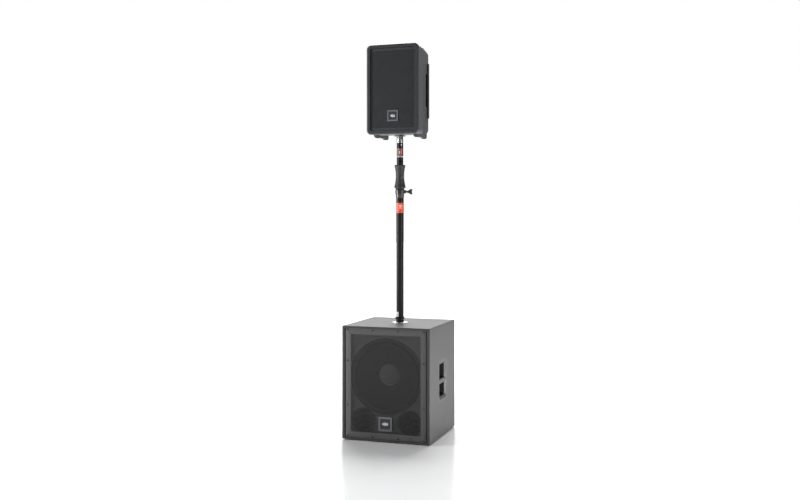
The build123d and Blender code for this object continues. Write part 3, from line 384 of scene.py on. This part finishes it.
def stickerPrint(name, color, roughness=0.35):  # printed film with a faint orange-peel
    finish = Finish(name, Coat_Weight=0.4, Coat_Roughness=0.2)
    fine = finish.noise(1.2 * mm, 2)
    slow = finish.noise(30 * mm, 2)
    finish.set("Base Color", finish.mix(slow, tinted(color, 0.88), tinted(color, 1.08)))
    finish.set("Roughness", roughness + fine * 0.1)
    finish.bump(fine, 0.02 * mm, 0.4)
    return finish.material


def badgePlate(name, node):  # satin rim with a darker blue-grey plate inside it
    look = {"plate": 0.355, "rim": (0.15, 0.153, 0.157), "inside": (0.02, 0.023, 0.03), "grain": 0.7 * mm}
    low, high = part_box(node)
    reach = (high.x - low.x) * look["plate"]
    finish = Finish(name, Coat_Weight=0.2)
    x, _, z = finish.split()
    across, up = (x - (low.x + high.x) / 2).size(), (z - (low.z + high.z) / 2).size()
    inside = across.sum("MAXIMUM", across, up).below(reach)
    fine = finish.noise(look["grain"], 2)
    finish.set("Base Color", finish.mix(inside, look["rim"], look["inside"]))
    finish.set("Metallic", 0.6 - inside * 0.45)
    finish.set("Roughness", 0.38 + fine * 0.1)
    finish.bump(fine, 0.02 * mm, 0.4)
    return finish.material


def glowingLamp(name, color, strength):
    finish = Finish(name, Emission_Strength=strength, Roughness=0.3)
    spark = finish.noise(1.0 * mm, 1)
    finish.set("Base Color", color)
    finish.set("Emission Color", finish.mix(spark, tinted(color, 0.8), color))
    return finish.material


def spot(node):  # middle of a node's box
    low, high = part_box(node)
    return (low + high) / 2


def coneCentre(node):
    middle = spot(node)
    return middle.x, middle.z


subCentre, satCentre = coneCentre("sub_woofer_cone"), coneCentre("top_woofer_cone")

finishes = {
    "cabinetPaint": texturedPaint(),
    "grilleCoat": powderCoat("grilleCoat", (0.075, 0.074, 0.073), 0.4),
    "grilleSheet": powderCoat("grilleSheet", (0.028, 0.028, 0.028), 0.5),
    "baffleCoat": powderCoat("baffleCoat", (0.22, 0.217, 0.212), 0.55),
    "satelliteGrille": powderCoat("satelliteGrille", (0.024, 0.026, 0.029), 0.45),
    "grilleCloth": wovenCloth("grilleCloth", (0.006, 0.006, 0.006), 1.0 * mm),
    "shellPlastic": bandedShell(),
    "railPlastic": grained("railPlastic", (0.035, 0.036, 0.038), 0.45, 0.9 * mm, 0.08 * mm, 0.1),
    "bezelPlastic": grained("bezelPlastic", (0.03, 0.0315, 0.034), 0.3, 0.8 * mm, 0.05 * mm, 0.1),
    "handleRight": litAndShadedHandle("handleRight", "sub_handle_right", 1),
    "handleLeft": litAndShadedHandle("handleLeft", "sub_handle_left", -1),
    "handlePlastic": grained("handlePlastic", (0.02, 0.02, 0.02), 0.5, 1.0 * mm, 0.07 * mm,
                             Specular_IOR_Level=0.3),
    "portPlastic": grained("portPlastic", (0.012, 0.012, 0.012), 0.45, 0.7 * mm, 0.04 * mm),
    "blackPlastic": grained("blackPlastic", (0.022, 0.022, 0.023), 0.36, 0.7 * mm, 0.05 * mm),
    "softKnob": grained("softKnob", (0.03, 0.03, 0.032), 0.55, 0.5 * mm, 0.05 * mm),
    "glossPlastic": grained("glossPlastic", (0.014, 0.014, 0.015), 0.16, 1.5 * mm, 0.01 * mm,
                            Coat_Weight=0.5),
    "gripRubber": grained("gripRubber", (0.022, 0.022, 0.0225), 0.5, 0.8 * mm, 0.1 * mm),
    "footRubber": grained("footRubber", (0.02, 0.02, 0.02), 0.7, 0.9 * mm, 0.1 * mm),
    "coneRubber": grained("coneRubber", (0.012, 0.012, 0.012), 0.5, 1.2 * mm, 0.1 * mm),
    "poleCoat": grained("poleCoat", (0.009, 0.009, 0.0095), 0.24, 1.6 * mm, 0.02 * mm,
                        Specular_IOR_Level=0.22),
    "collarGloss": grained("collarGloss", (0.022, 0.0215, 0.02), 0.24, 1.2 * mm, 0.02 * mm,
                           Coat_Weight=0.4),
    "castBlack": grained("castBlack", (0.02, 0.02, 0.02), 0.5, 2.5 * mm, 0.2 * mm),
    "ferrite": grained("ferrite", (0.06, 0.06, 0.062), 0.55, 3 * mm, 0.15 * mm, Metallic=0.4),
    "darkScrew": grained("darkScrew", (0.03, 0.03, 0.03), 0.35, 0.4 * mm, 0.02 * mm, Metallic=0.8),
    "subBadge": badgePlate("subBadge", "sub_badge"),
    "satelliteBadge": badgePlate("satelliteBadge", "top_badge"),
    "brightSteel": brushedMetal("brightSteel", (0.4, 0.405, 0.41), 0.24, "round"),
    "cupSteel": brushedMetal("cupSteel", (0.9, 0.9, 0.9), 0.3, "round"),
    "copperWire": brushedMetal("copperWire", (0.75, 0.4, 0.2), 0.35, "y"),
    "darkPanel": brushedMetal("darkPanel", (0.06, 0.06, 0.063), 0.4, "x"),
    "markMetal": brushedMetal("markMetal", (0.9, 0.9, 0.92), 0.3, "x"),
    "subPaper": paperCone("subPaper", (0.016, 0.016, 0.016), subCentre),
    "satPaper": paperCone("satPaper", (0.04, 0.04, 0.042), satCentre),
    "capPaper": paperCone("capPaper", (0.2, 0.197, 0.19), subCentre),
    "spiderCloth": wovenCloth("spiderCloth", (0.5, 0.36, 0.12), 1.2 * mm),
    "plywood": plywood(),
    "circuitBoard": circuitGreen(),
    "orangePrint": stickerPrint("orangePrint", (0.78, 0.065, 0.012)),
    "palePrint": stickerPrint("palePrint", (0.75, 0.75, 0.74)),
    "creamPrint": stickerPrint("creamPrint", (0.8, 0.62, 0.5)),
    "darkPrint": stickerPrint("darkPrint", (0.03, 0.03, 0.032)),
    "redPrint": stickerPrint("redPrint", (0.5, 0.03, 0.02)),
    "powerLamp": glowingLamp("powerLamp", (0.05, 0.9, 0.2), 1.2),
}

worn = {  # which frame node wears which finish
    "cabinetPaint": ["sub_cabinet", "sub_back_panel"],
    "baffleCoat": ["sub_baffle"],
    "shellPlastic": ["top_rear_shell"],
    "railPlastic": ["top_rails"],
    "bezelPlastic": ["top_front_baffle"],
    "handleRight": ["sub_handle_right"],
    "handleLeft": ["sub_handle_left"],
    "handlePlastic": ["top_handle"],
    "portPlastic": ["sub_port_tubes", "top_port_tubes", "top_horn"],
    "collarGloss": ["pole_collar"],
    "blackPlastic": ["pole_wing_screw", "pole_guide_bush", "pole_glide_ring", "pole_release_button",
                     "sub_sockets", "top_sockets"],
    "softKnob": ["sub_level_knob", "top_level_knob_1", "top_level_knob_2", "sub_polarity_button"],
    "glossPlastic": ["sub_power_rocker", "top_power_rocker"],
    "gripRubber": ["pole_grip"],
    "footRubber": ["sub_feet", "top_feet"],
    "poleCoat": ["pole_lower_tube", "pole_upper_tube", "pole_base_plug"],
    "castBlack": ["sub_woofer_frame", "top_woofer_frame", "top_pole_socket"],
    "ferrite": ["sub_woofer_magnet", "top_woofer_magnet", "top_compression_driver"],
    "darkScrew": ["sub_screws", "top_screws"],
    "subBadge": ["sub_badge"],
    "satelliteBadge": ["top_badge"],
    "brightSteel": ["pole_top_adapter"],
    "cupSteel": ["pole_cup"],
    "copperWire": ["sub_woofer_voice_coil", "top_woofer_voice_coil"],
    "darkPanel": ["sub_amp_panel", "top_amp_panel"],
    "subPaper": ["sub_woofer_cone"],
    "satPaper": ["top_woofer_cone", "top_woofer_dust_cap"],
    "capPaper": ["sub_woofer_dust_cap"],
    "spiderCloth": ["sub_woofer_spider", "top_woofer_spider"],
    "plywood": ["sub_brace"],
    "circuitBoard": ["sub_amp_board", "top_amp_board"],
}
for finishName, wearers in worn.items():
    for wearer in wearers:
        for place in cadNodes[wearer].material_slots:
            place.material = finishes[finishName]
print("materials on", sum(len(wearers) for wearers in worn.values()), "nodes")


# shaping

def vertsOf(geometry):
    return [part for part in geometry if isinstance(part, bmesh.types.BMVert)]


def asPiece(name, bm, finishName, body, smooth=True):
    bmesh.ops.remove_doubles(bm, verts=bm.verts, dist=0.01 * mm)
    bmesh.ops.recalc_face_normals(bm, faces=bm.faces)
    mesh = bpy.data.meshes.new(name)
    bm.to_mesh(mesh)
    bm.free()
    mesh.materials.append(finishes[finishName])
    if smooth:
        mesh.shade_smooth()
        mesh.set_sharp_from_angle(angle=math.radians(35))
    piece = bpy.data.objects.new(name, mesh)
    bpy.context.scene.collection.objects.link(piece)
    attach(piece, body)
    return piece


def slab(bm, low, high):  # a box between two corners
    made = bmesh.ops.create_cube(bm, size=1)["verts"]
    low, high = Vector(low), Vector(high)
    bmesh.ops.scale(bm, vec=high - low, verts=made)
    bmesh.ops.translate(bm, vec=(low + high) / 2, verts=made)
    return made


def softened(bm, verts, offset, segments=2):
    edges = list({edge for vert in verts for edge in vert.link_edges})
    bmesh.ops.bevel(bm, geom=edges, offset=offset, segments=segments, affect="EDGES", profile=0.5,
                    material=-1)


def peg(bm, place, radius, length):  # a small cylinder that runs backward from a place
    turn = Vector((0, 0, 1)).rotation_difference(Vector((0, 1, 0))).to_matrix().to_4x4()
    matrix = Matrix.Translation(Vector(place)) @ turn @ Matrix.Translation((0, 0, length / 2))
    return bmesh.ops.create_cone(bm, cap_ends=True, segments=12, radius1=radius, radius2=radius,
                                 depth=length, matrix=matrix)["verts"]


# perforated grilles

def holeCell(bm, pitch, radius, thickness):  # one six-sided tile with a round hole, facing up
    outer = bmesh.ops.create_circle(bm, segments=6, radius=pitch / math.sqrt(3), cap_ends=False)["verts"]
    inner = bmesh.ops.create_circle(bm, segments=8, radius=radius, cap_ends=False)["verts"]
    rims = [list({edge for vert in circle for edge in vert.link_edges}) for circle in (outer, inner)]
    bmesh.ops.bridge_loops(bm, edges=rims[0] + rims[1])
    wall = bmesh.ops.extrude_edge_only(bm, edges=rims[1])["geom"]
    bmesh.ops.translate(bm, vec=(0, 0, -thickness), verts=vertsOf(wall))


def repeated(bm, step, count):  # copies what is there in a row
    first = bm.verts[:] + bm.edges[:] + bm.faces[:]
    for index in range(1, count):
        copy = bmesh.ops.duplicate(bm, geom=first)["geom"]
        bmesh.ops.translate(bm, vec=Vector(step) * index, verts=vertsOf(copy))


def perforatedSheet(width, height, pitch, radius, thickness):  # lies flat, centred, with its face at z = 0
    bm = bmesh.new()
    holeCell(bm, pitch, radius, thickness)
    rowStep = pitch * math.sqrt(3) / 2
    pairs = int((height / rowStep - 1) / 2)
    columns = int(width / pitch - 0.5)
    repeated(bm, (pitch / 2, rowStep, 0), 2)
    repeated(bm, (pitch, 0, 0), columns)
    repeated(bm, (0, 2 * rowStep, 0), pairs)
    middle = (pitch * (columns - 0.5) / 2, rowStep * (2 * pairs - 1) / 2, 0)
    bmesh.ops.translate(bm, vec=-Vector(middle), verts=bm.verts)
    return bm, pitch * (columns + 0.5), rowStep * 2 * pairs


def frameRing(corner, path):  # a closed ring whose section follows (width, height, z) steps
    bm = bmesh.new()
    width, height, z = path[0]
    flat = bmesh.ops.create_grid(bm, x_segments=1, y_segments=1, size=0.5)["verts"]
    bmesh.ops.scale(bm, vec=(width, height, 1), verts=flat)
    bmesh.ops.translate(bm, vec=(0, 0, z), verts=flat)
    bmesh.ops.bevel(bm, geom=flat, offset=corner, segments=6, affect="VERTICES", profile=0.5, material=-1)
    bmesh.ops.delete(bm, geom=bm.faces[:], context="FACES_ONLY")
    edges = bm.edges[:]
    for wide, tall, level in path[1:] + path[:1]:
        made = bmesh.ops.extrude_edge_only(bm, edges=edges)["geom"]
        verts = vertsOf(made)
        edges = [edge for edge in made if isinstance(edge, bmesh.types.BMEdge)]
        for right in (-1, 1):
            for up in (-1, 1):
                group = [vert for vert in verts if vert.co.x * right > 0 and vert.co.y * up > 0]
                step = (right * (wide - width) / 2, up * (tall - height) / 2, level - z)
                bmesh.ops.translate(bm, vec=step, verts=group)
        width, height, z = wide, tall, level
    return bm


def standUp(bm, x, y, z):  # from lying flat to facing the front
    bmesh.ops.rotate(bm, matrix=Matrix.Rotation(math.radians(90), 3, "X"), verts=bm.verts)
    bmesh.ops.translate(bm, vec=(x, y, z), verts=bm.verts)


def coneRoll(name, prefix, body):  # half roll that the cone's edge slides past, with a sleeve behind it
    roll = {"wall": 1.2 * mm, "play": 0.45 * mm, "rim": 6 * mm, "steps": 10, "segments": 96,
            "sleeve": 0.55 * mm}
    low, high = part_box(prefix + "surround")
    coneLow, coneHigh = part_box(prefix + "cone")
    outside, inside = (high.x - low.x) / 2, (coneHigh.x - coneLow.x) / 2 + roll["play"]
    height = high.y - low.y
    middle = (outside - roll["rim"] + inside) / 2
    reach, wall = (outside - roll["rim"] - inside) / 2, roll["wall"]
    angles = [math.pi * index / roll["steps"] for index in range(1, roll["steps"])]
    outline = [(outside, 0), (outside, wall), (outside - roll["rim"] + wall / 2, wall)]
    outline += [(middle + reach * math.cos(angle), height * math.sin(angle)) for angle in angles]
    outline += [(inside, 0), (inside, -height), (inside + roll["sleeve"], -height), (inside + wall, 0)]
    inner, under = reach - wall, height - wall
    outline += [(middle - inner * math.cos(angle), under * math.sin(angle)) for angle in angles]
    outline += [(middle + inner, 0)]
    bm = bmesh.new()
    verts = [bm.verts.new((radius, -up, 0)) for radius, up in outline]
    edges = [bm.edges.new(pair) for pair in zip(verts, verts[1:] + verts[:1])]
    bmesh.ops.spin(bm, geom=verts + edges, cent=(0, 0, 0), axis=(0, 1, 0), angle=2 * math.pi,
                   steps=roll["segments"], use_merge=True)
    centre = spot(prefix + "surround")
    bmesh.ops.translate(bm, vec=(centre.x, high.y, centre.z), verts=bm.verts)
    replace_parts(asPiece(name, bm, "coneRubber", body), prefix + "surround")


coneRoll("subConeRoll", "sub_woofer_", "base")
coneRoll("satelliteConeRoll", "top_woofer_", "speaker")


def subGrille():
    sheet = {"pitch": 7.1 * mm, "hole": 2.75 * mm, "steel": 1.5 * mm, "width": 380 * mm, "height": 513 * mm,
             "corner": 3 * mm, "edge": 1.2 * mm, "step": 0.15 * mm}
    low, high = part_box("sub_grille")
    middle = (low + high) / 2
    width, height, depth = high.x - low.x, high.z - low.z, high.y - low.y
    bm, wide, tall = perforatedSheet(sheet["width"], sheet["height"], sheet["pitch"], sheet["hole"],
                                     sheet["steel"])
    standUp(bm, middle.x, low.y + sheet["step"], middle.z)
    holes = asPiece("subGrilleHoles", bm, "grilleSheet", "base", False)
    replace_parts(holes, "sub_grille")
    inset, steel = sheet["edge"], sheet["steel"]
    inner = (wide - sheet["pitch"], tall - sheet["pitch"])
    path = [(*inner, -steel), (*inner, 0), (width - 2 * inset, height - 2 * inset, 0),
            (width - inset * 0.6, height - inset * 0.6, -inset * 0.3), (width, height, -inset),
            (width, height, -depth), (width - 2 * steel, height - 2 * steel, -depth),
            (width - 2 * steel, height - 2 * steel, -steel)]
    bm = frameRing(sheet["corner"], path)
    standUp(bm, middle.x, low.y, middle.z)
    asPiece("subGrilleBorder", bm, "grilleCoat", "base")
    print("subwoofer grille", round(wide, 3), "by", round(tall, 3))


def satelliteGrille():
    sheet = {"pitch": 5.0 * mm, "hole": 1.95 * mm, "steel": 1.0 * mm, "edge": 3 * mm, "corner": 8 * mm,
             "step": 0.1 * mm, "chamfer": 0.5 * mm, "clothFrom": 0.05 * mm, "clothTo": 0.3 * mm,
             "clothInset": 2 * mm}
    low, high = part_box("top_grille")
    middle = (low + high) / 2
    width, height = high.x - low.x, high.z - low.z
    bm, wide, tall = perforatedSheet(width - 2 * sheet["edge"], height - 2 * sheet["edge"], sheet["pitch"],
                                     sheet["hole"], sheet["steel"])
    standUp(bm, middle.x, low.y + sheet["step"], middle.z)
    holes = asPiece("satelliteGrilleHoles", bm, "satelliteGrille", "speaker", False)
    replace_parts(holes, "top_grille")
    inner = (wide - sheet["pitch"], tall - sheet["pitch"])
    chamfer = sheet["chamfer"]
    path = [(*inner, -sheet["steel"]), (*inner, 0), (width - 2 * chamfer, height - 2 * chamfer, 0),
            (width, height, -chamfer), (width, height, -sheet["steel"])]
    bm = frameRing(sheet["corner"], path)
    standUp(bm, middle.x, low.y, middle.z)
    asPiece("satelliteGrilleBorder", bm, "satelliteGrille", "speaker")
    bm = bmesh.new()
    inset, behind = sheet["clothInset"], low.y + sheet["steel"]
    slab(bm, (low.x + inset, behind + sheet["clothFrom"], low.z + inset),
         (high.x - inset, behind + sheet["clothTo"], high.z - inset))
    bmesh.ops.subdivide_edges(bm, edges=bm.edges[:], cuts=3, use_grid_fill=True)
    asPiece("satelliteGrilleCloth", bm, "grilleCloth", "speaker", False)
    print("satellite grille", round(wide, 3), "by", round(tall, 3))


subGrille()
satelliteGrille()


# badges

def badgeMark(name, node, body):  # a plain sign of five level bars
    mark = {"bars": (0.4, 0.75, 1.0, 0.6, 0.85), "width": 0.44, "height": 0.26, "step": 0.1 * mm,
            "thickness": 0.4 * mm, "gap": 0.3, "soft": 0.15 * mm}
    low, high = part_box(node)
    middle, size = (low + high) / 2, (high.x - low.x) * mark["width"]
    reach, face = (high.x - low.x) * mark["height"], low.y + mark["step"]
    step = size / len(mark["bars"])
    bm = bmesh.new()
    for index, share in enumerate(mark["bars"]):
        x = middle.x - size / 2 + step * (index + 0.5)
        half, tall = step * (1 - mark["gap"]) / 2, reach * share / 2
        verts = slab(bm, (x - half, face, middle.z - tall),
                     (x + half, face + mark["thickness"], middle.z + tall))
        softened(bm, verts, mark["soft"])
    asPiece(name, bm, "markMetal", body)


badgeMark("subBadgeMark", "sub_badge", "base")
badgeMark("satelliteBadgeMark", "top_badge", "speaker")
print("badges marked")


# printed film on the pole

def wrap(name, finishName, body, radius, block, film):  # block: heights in mm, then degrees from the front
    low, high, start, sweep = block
    bm = bmesh.new()
    turn = math.radians(start)
    heading = Vector((math.sin(turn), -math.cos(turn), 0))
    ends = [bm.verts.new(heading * (radius + film) + Vector((0, 0, z * mm))) for z in (low, high)]
    line = bm.edges.new(ends)
    bmesh.ops.spin(bm, geom=[line, *ends], cent=(0, 0, 0), axis=(0, 0, 1), angle=math.radians(sweep),
                   steps=max(6, int(sweep / 7)))
    bmesh.ops.recalc_face_normals(bm, faces=bm.faces)
    outward = Vector((1, 1, 0)).normalized()
    if sum(face.normal.dot(face.calc_center_median() * outward) for face in bm.faces) < 0:
        bmesh.ops.reverse_faces(bm, faces=bm.faces)
    bmesh.ops.solidify(bm, geom=bm.faces[:], thickness=film * 0.9)
    asPiece(name, bm, finishName, body)


def poleStickers():
    sticker = {"orange": (1162, 1215, -95, 171), "line": (1168, 1170.5, -85, 150),
               "bars": ((1196, 1204, 6, 44), (1186, 1192, 6, 30)), "pale": (616, 641, -48, 44),
               "paleBars": ((621, 622.5, -42, 32), (626, 627.5, -42, 26)),
               "film": 0.12 * mm, "lift": 0.13 * mm}
    tube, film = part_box("pole_lower_tube")[1].x, sticker["film"]
    above = tube + sticker["lift"]
    wrap("orangeSticker", "orangePrint", "base", tube, sticker["orange"], film)
    wrap("orangeStickerLine", "redPrint", "base", above, sticker["line"], film)
    for index, block in enumerate(sticker["bars"]):
        wrap(f"orangeStickerBar{index}", "creamPrint", "base", above, block, film)
    wrap("paleSticker", "palePrint", "base", tube, sticker["pale"], film)
    for index, block in enumerate(sticker["paleBars"]):
        wrap(f"paleStickerBar{index}", "darkPrint", "base", above, block, film)


def tubeLabel():  # plain blocks of colour printed round the upper tube
    label = {"film": 0.035 * mm, "lift": 0.0001 * mm, "thicker": 0.004 * mm,
             "sheet": (1456, 1505, -100, 210), "red": (1474, 1500, -96, 78), "patch": (1468, 1490, 22, 26),
             "figure": (1472, 1488, 2, 12), "foot": (1456, 1459, -100, 210),
             "bars": ((1496, 1498, -12, 70), (1462, 1464, -12, 56))}
    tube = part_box("pole_upper_tube")[1].x
    above, film = tube + label["lift"], label["film"] + label["thicker"]
    wrap("labelSheet", "darkPrint", "upper_pole", tube, label["sheet"], label["film"])
    printed = {"Red": "redPrint", "Patch": "orangePrint", "Figure": "creamPrint", "Foot": "palePrint"}
    for part, finishName in printed.items():
        wrap("label" + part, finishName, "upper_pole", above, label[part.lower()], film)
    for index, block in enumerate(label["bars"]):
        wrap(f"labelBar{index}", "creamPrint", "upper_pole", above, block, film)


poleStickers()
tubeLabel()
print("pole stickers wrapped")


# back panels

def socketPins(name, node, body, places):  # three contacts in each audio socket
    pins = {"ring": 4.2 * mm, "pin": 1.2 * mm, "reach": 9 * mm, "depth": 14 * mm, "soft": 0.3 * mm}
    bm = bmesh.new()
    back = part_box(node)[1].y
    for x, z in places:
        for angle in (90, 210, 330):
            turn = math.radians(angle)
            place = (x + pins["ring"] * math.cos(turn), back - pins["depth"],
                     z + pins["ring"] * math.sin(turn))
            softened(bm, peg(bm, place, pins["pin"], pins["reach"]), pins["soft"], 1)
    asPiece(name, bm, "brightSteel", body)


def inletBlades(name, node, body, place):
    blade = {"places": ((-7 * mm, 1 * mm), (7 * mm, 1 * mm), (0, -3 * mm)), "width": 2 * mm,
             "height": 5 * mm, "from": 14.5 * mm, "to": 3 * mm, "soft": 0.3 * mm}
    bm = bmesh.new()
    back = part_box(node)[1].y
    for across, up in blade["places"]:
        low = (place[0] + across - blade["width"] / 2, back - blade["from"],
               place[1] + up - blade["height"] / 2)
        verts = slab(bm, low, (low[0] + blade["width"], back - blade["to"], low[2] + blade["height"]))
        softened(bm, verts, blade["soft"], 1)
    asPiece(name, bm, "brightSteel", body)


def knobTicks(name, node, body, panelY):  # dots round a dial, bigger at both ends and the middle
    ticks = {"count": 11, "sweep": 300, "reach": 12.5 * mm, "size": 0.6 * mm, "big": 1.6, "film": 0.15 * mm}
    centre = spot(node)
    bm = bmesh.new()
    for index in range(ticks["count"]):
        turn = math.radians(-ticks["sweep"] / 2 + ticks["sweep"] * index / (ticks["count"] - 1))
        place = (centre.x - ticks["reach"] * math.sin(turn), panelY,
                 centre.z + ticks["reach"] * math.cos(turn))
        big = ticks["big"] if index in (0, ticks["count"] // 2, ticks["count"] - 1) else 1
        peg(bm, place, ticks["size"] * big, ticks["film"])
    asPiece(name, bm, "palePrint", body)


def panelLamp(name, body, place):
    lens = {"radius": 1.6 * mm, "flatness": 0.7}
    bm = bmesh.new()
    verts = bmesh.ops.create_uvsphere(bm, u_segments=16, v_segments=8, radius=lens["radius"])["verts"]
    bmesh.ops.scale(bm, vec=(1, lens["flatness"], 1), verts=verts)
    bmesh.ops.translate(bm, vec=place, verts=verts)
    asPiece(name, bm, "powerLamp", body)


def backDetails():
    back = {"flange": 2 * mm, "lampAcross": 26 * mm}  # sockets' flanges stand this far off the panel
    mounts = {mount["name"]: mount["pos_m"] for mount in frame["record"]["mounts"]}
    boxes = {opening["name"]: opening["box_m"] for opening in frame["record"]["physics"]["openings"]}
    panels = (("sub", "sub", "sub_sockets", "base"), ("speaker", "satellite", "top_sockets", "speaker"))
    for word, title, node, body in panels:
        inputs = [mounts[f"{word}_input_{index}"] for index in (1, 2)]
        socketPins(title + "SocketPins", node, body, [(x, z) for x, _, z in inputs])
    for word, _, node, body in panels:
        low, high = boxes[word + "_power_inlet"]
        middle = ((low[0] + high[0]) / 2, (low[2] + high[2]) / 2)
        inletBlades(word + "powerinletBlades", node, body, middle)
    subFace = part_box("sub_sockets")[1].y - back["flange"]
    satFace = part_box("top_sockets")[1].y - back["flange"]
    knobTicks("subDialTicks", "sub_level_knob", "base", subFace)
    knobTicks("satelliteDialTicks1", "top_level_knob_1", "speaker", satFace)
    knobTicks("satelliteDialTicks2", "top_level_knob_2", "speaker", satFace)
    knob = spot("sub_level_knob")
    panelLamp("subPowerLamp", "base", (knob.x + back["lampAcross"], subFace, knob.z))
    panelLamp("satellitePowerLamp", "speaker", (0, satFace, spot("top_level_knob_1").z))


backDetails()
print("back panels finished")


# floor

def studioFloor():
    bm = bmesh.new()
    bmesh.ops.create_grid(bm, x_segments=2, y_segments=2, size=floorSettings["size"] / 2)
    mesh = bpy.data.meshes.new("studioFloor")
    bm.to_mesh(mesh)
    bm.free()
    finish = Finish("studioFloor", Specular_IOR_Level=0.35, Emission_Strength=1.0)
    slow = finish.noise(floorSettings["patch"], 2)
    color = floorSettings["color"]
    finish.set("Base Color", finish.mix(slow, tinted(color, 0.99), tinted(color, 1.01)))
    finish.set("Roughness", floorSettings["roughness"] + slow * floorSettings["uneven"])
    # painted light: the floor glows, not at all within glowFrom of the middle and rising to glow at glowTo,
    # so the floor near the object stays darker like shade and turns white farther out
    x, y, _ = finish.split()
    reach = (x * x + y * y) ** 0.5
    near, far = floorSettings["glowFrom"], floorSettings["glowTo"]
    share = reach.sum("MAXIMUM", (reach - near) / (far - near), 0)
    finish.set("Emission Color", finish.ramp(share, (0.0, (0, 0, 0)), (1.0, floorSettings["glow"])))
    mesh.materials.append(finish.material)
    floor = bpy.data.objects.new("studioFloor", mesh)
    bpy.context.scene.collection.objects.link(floor)


studioFloor()
print("scene ready")
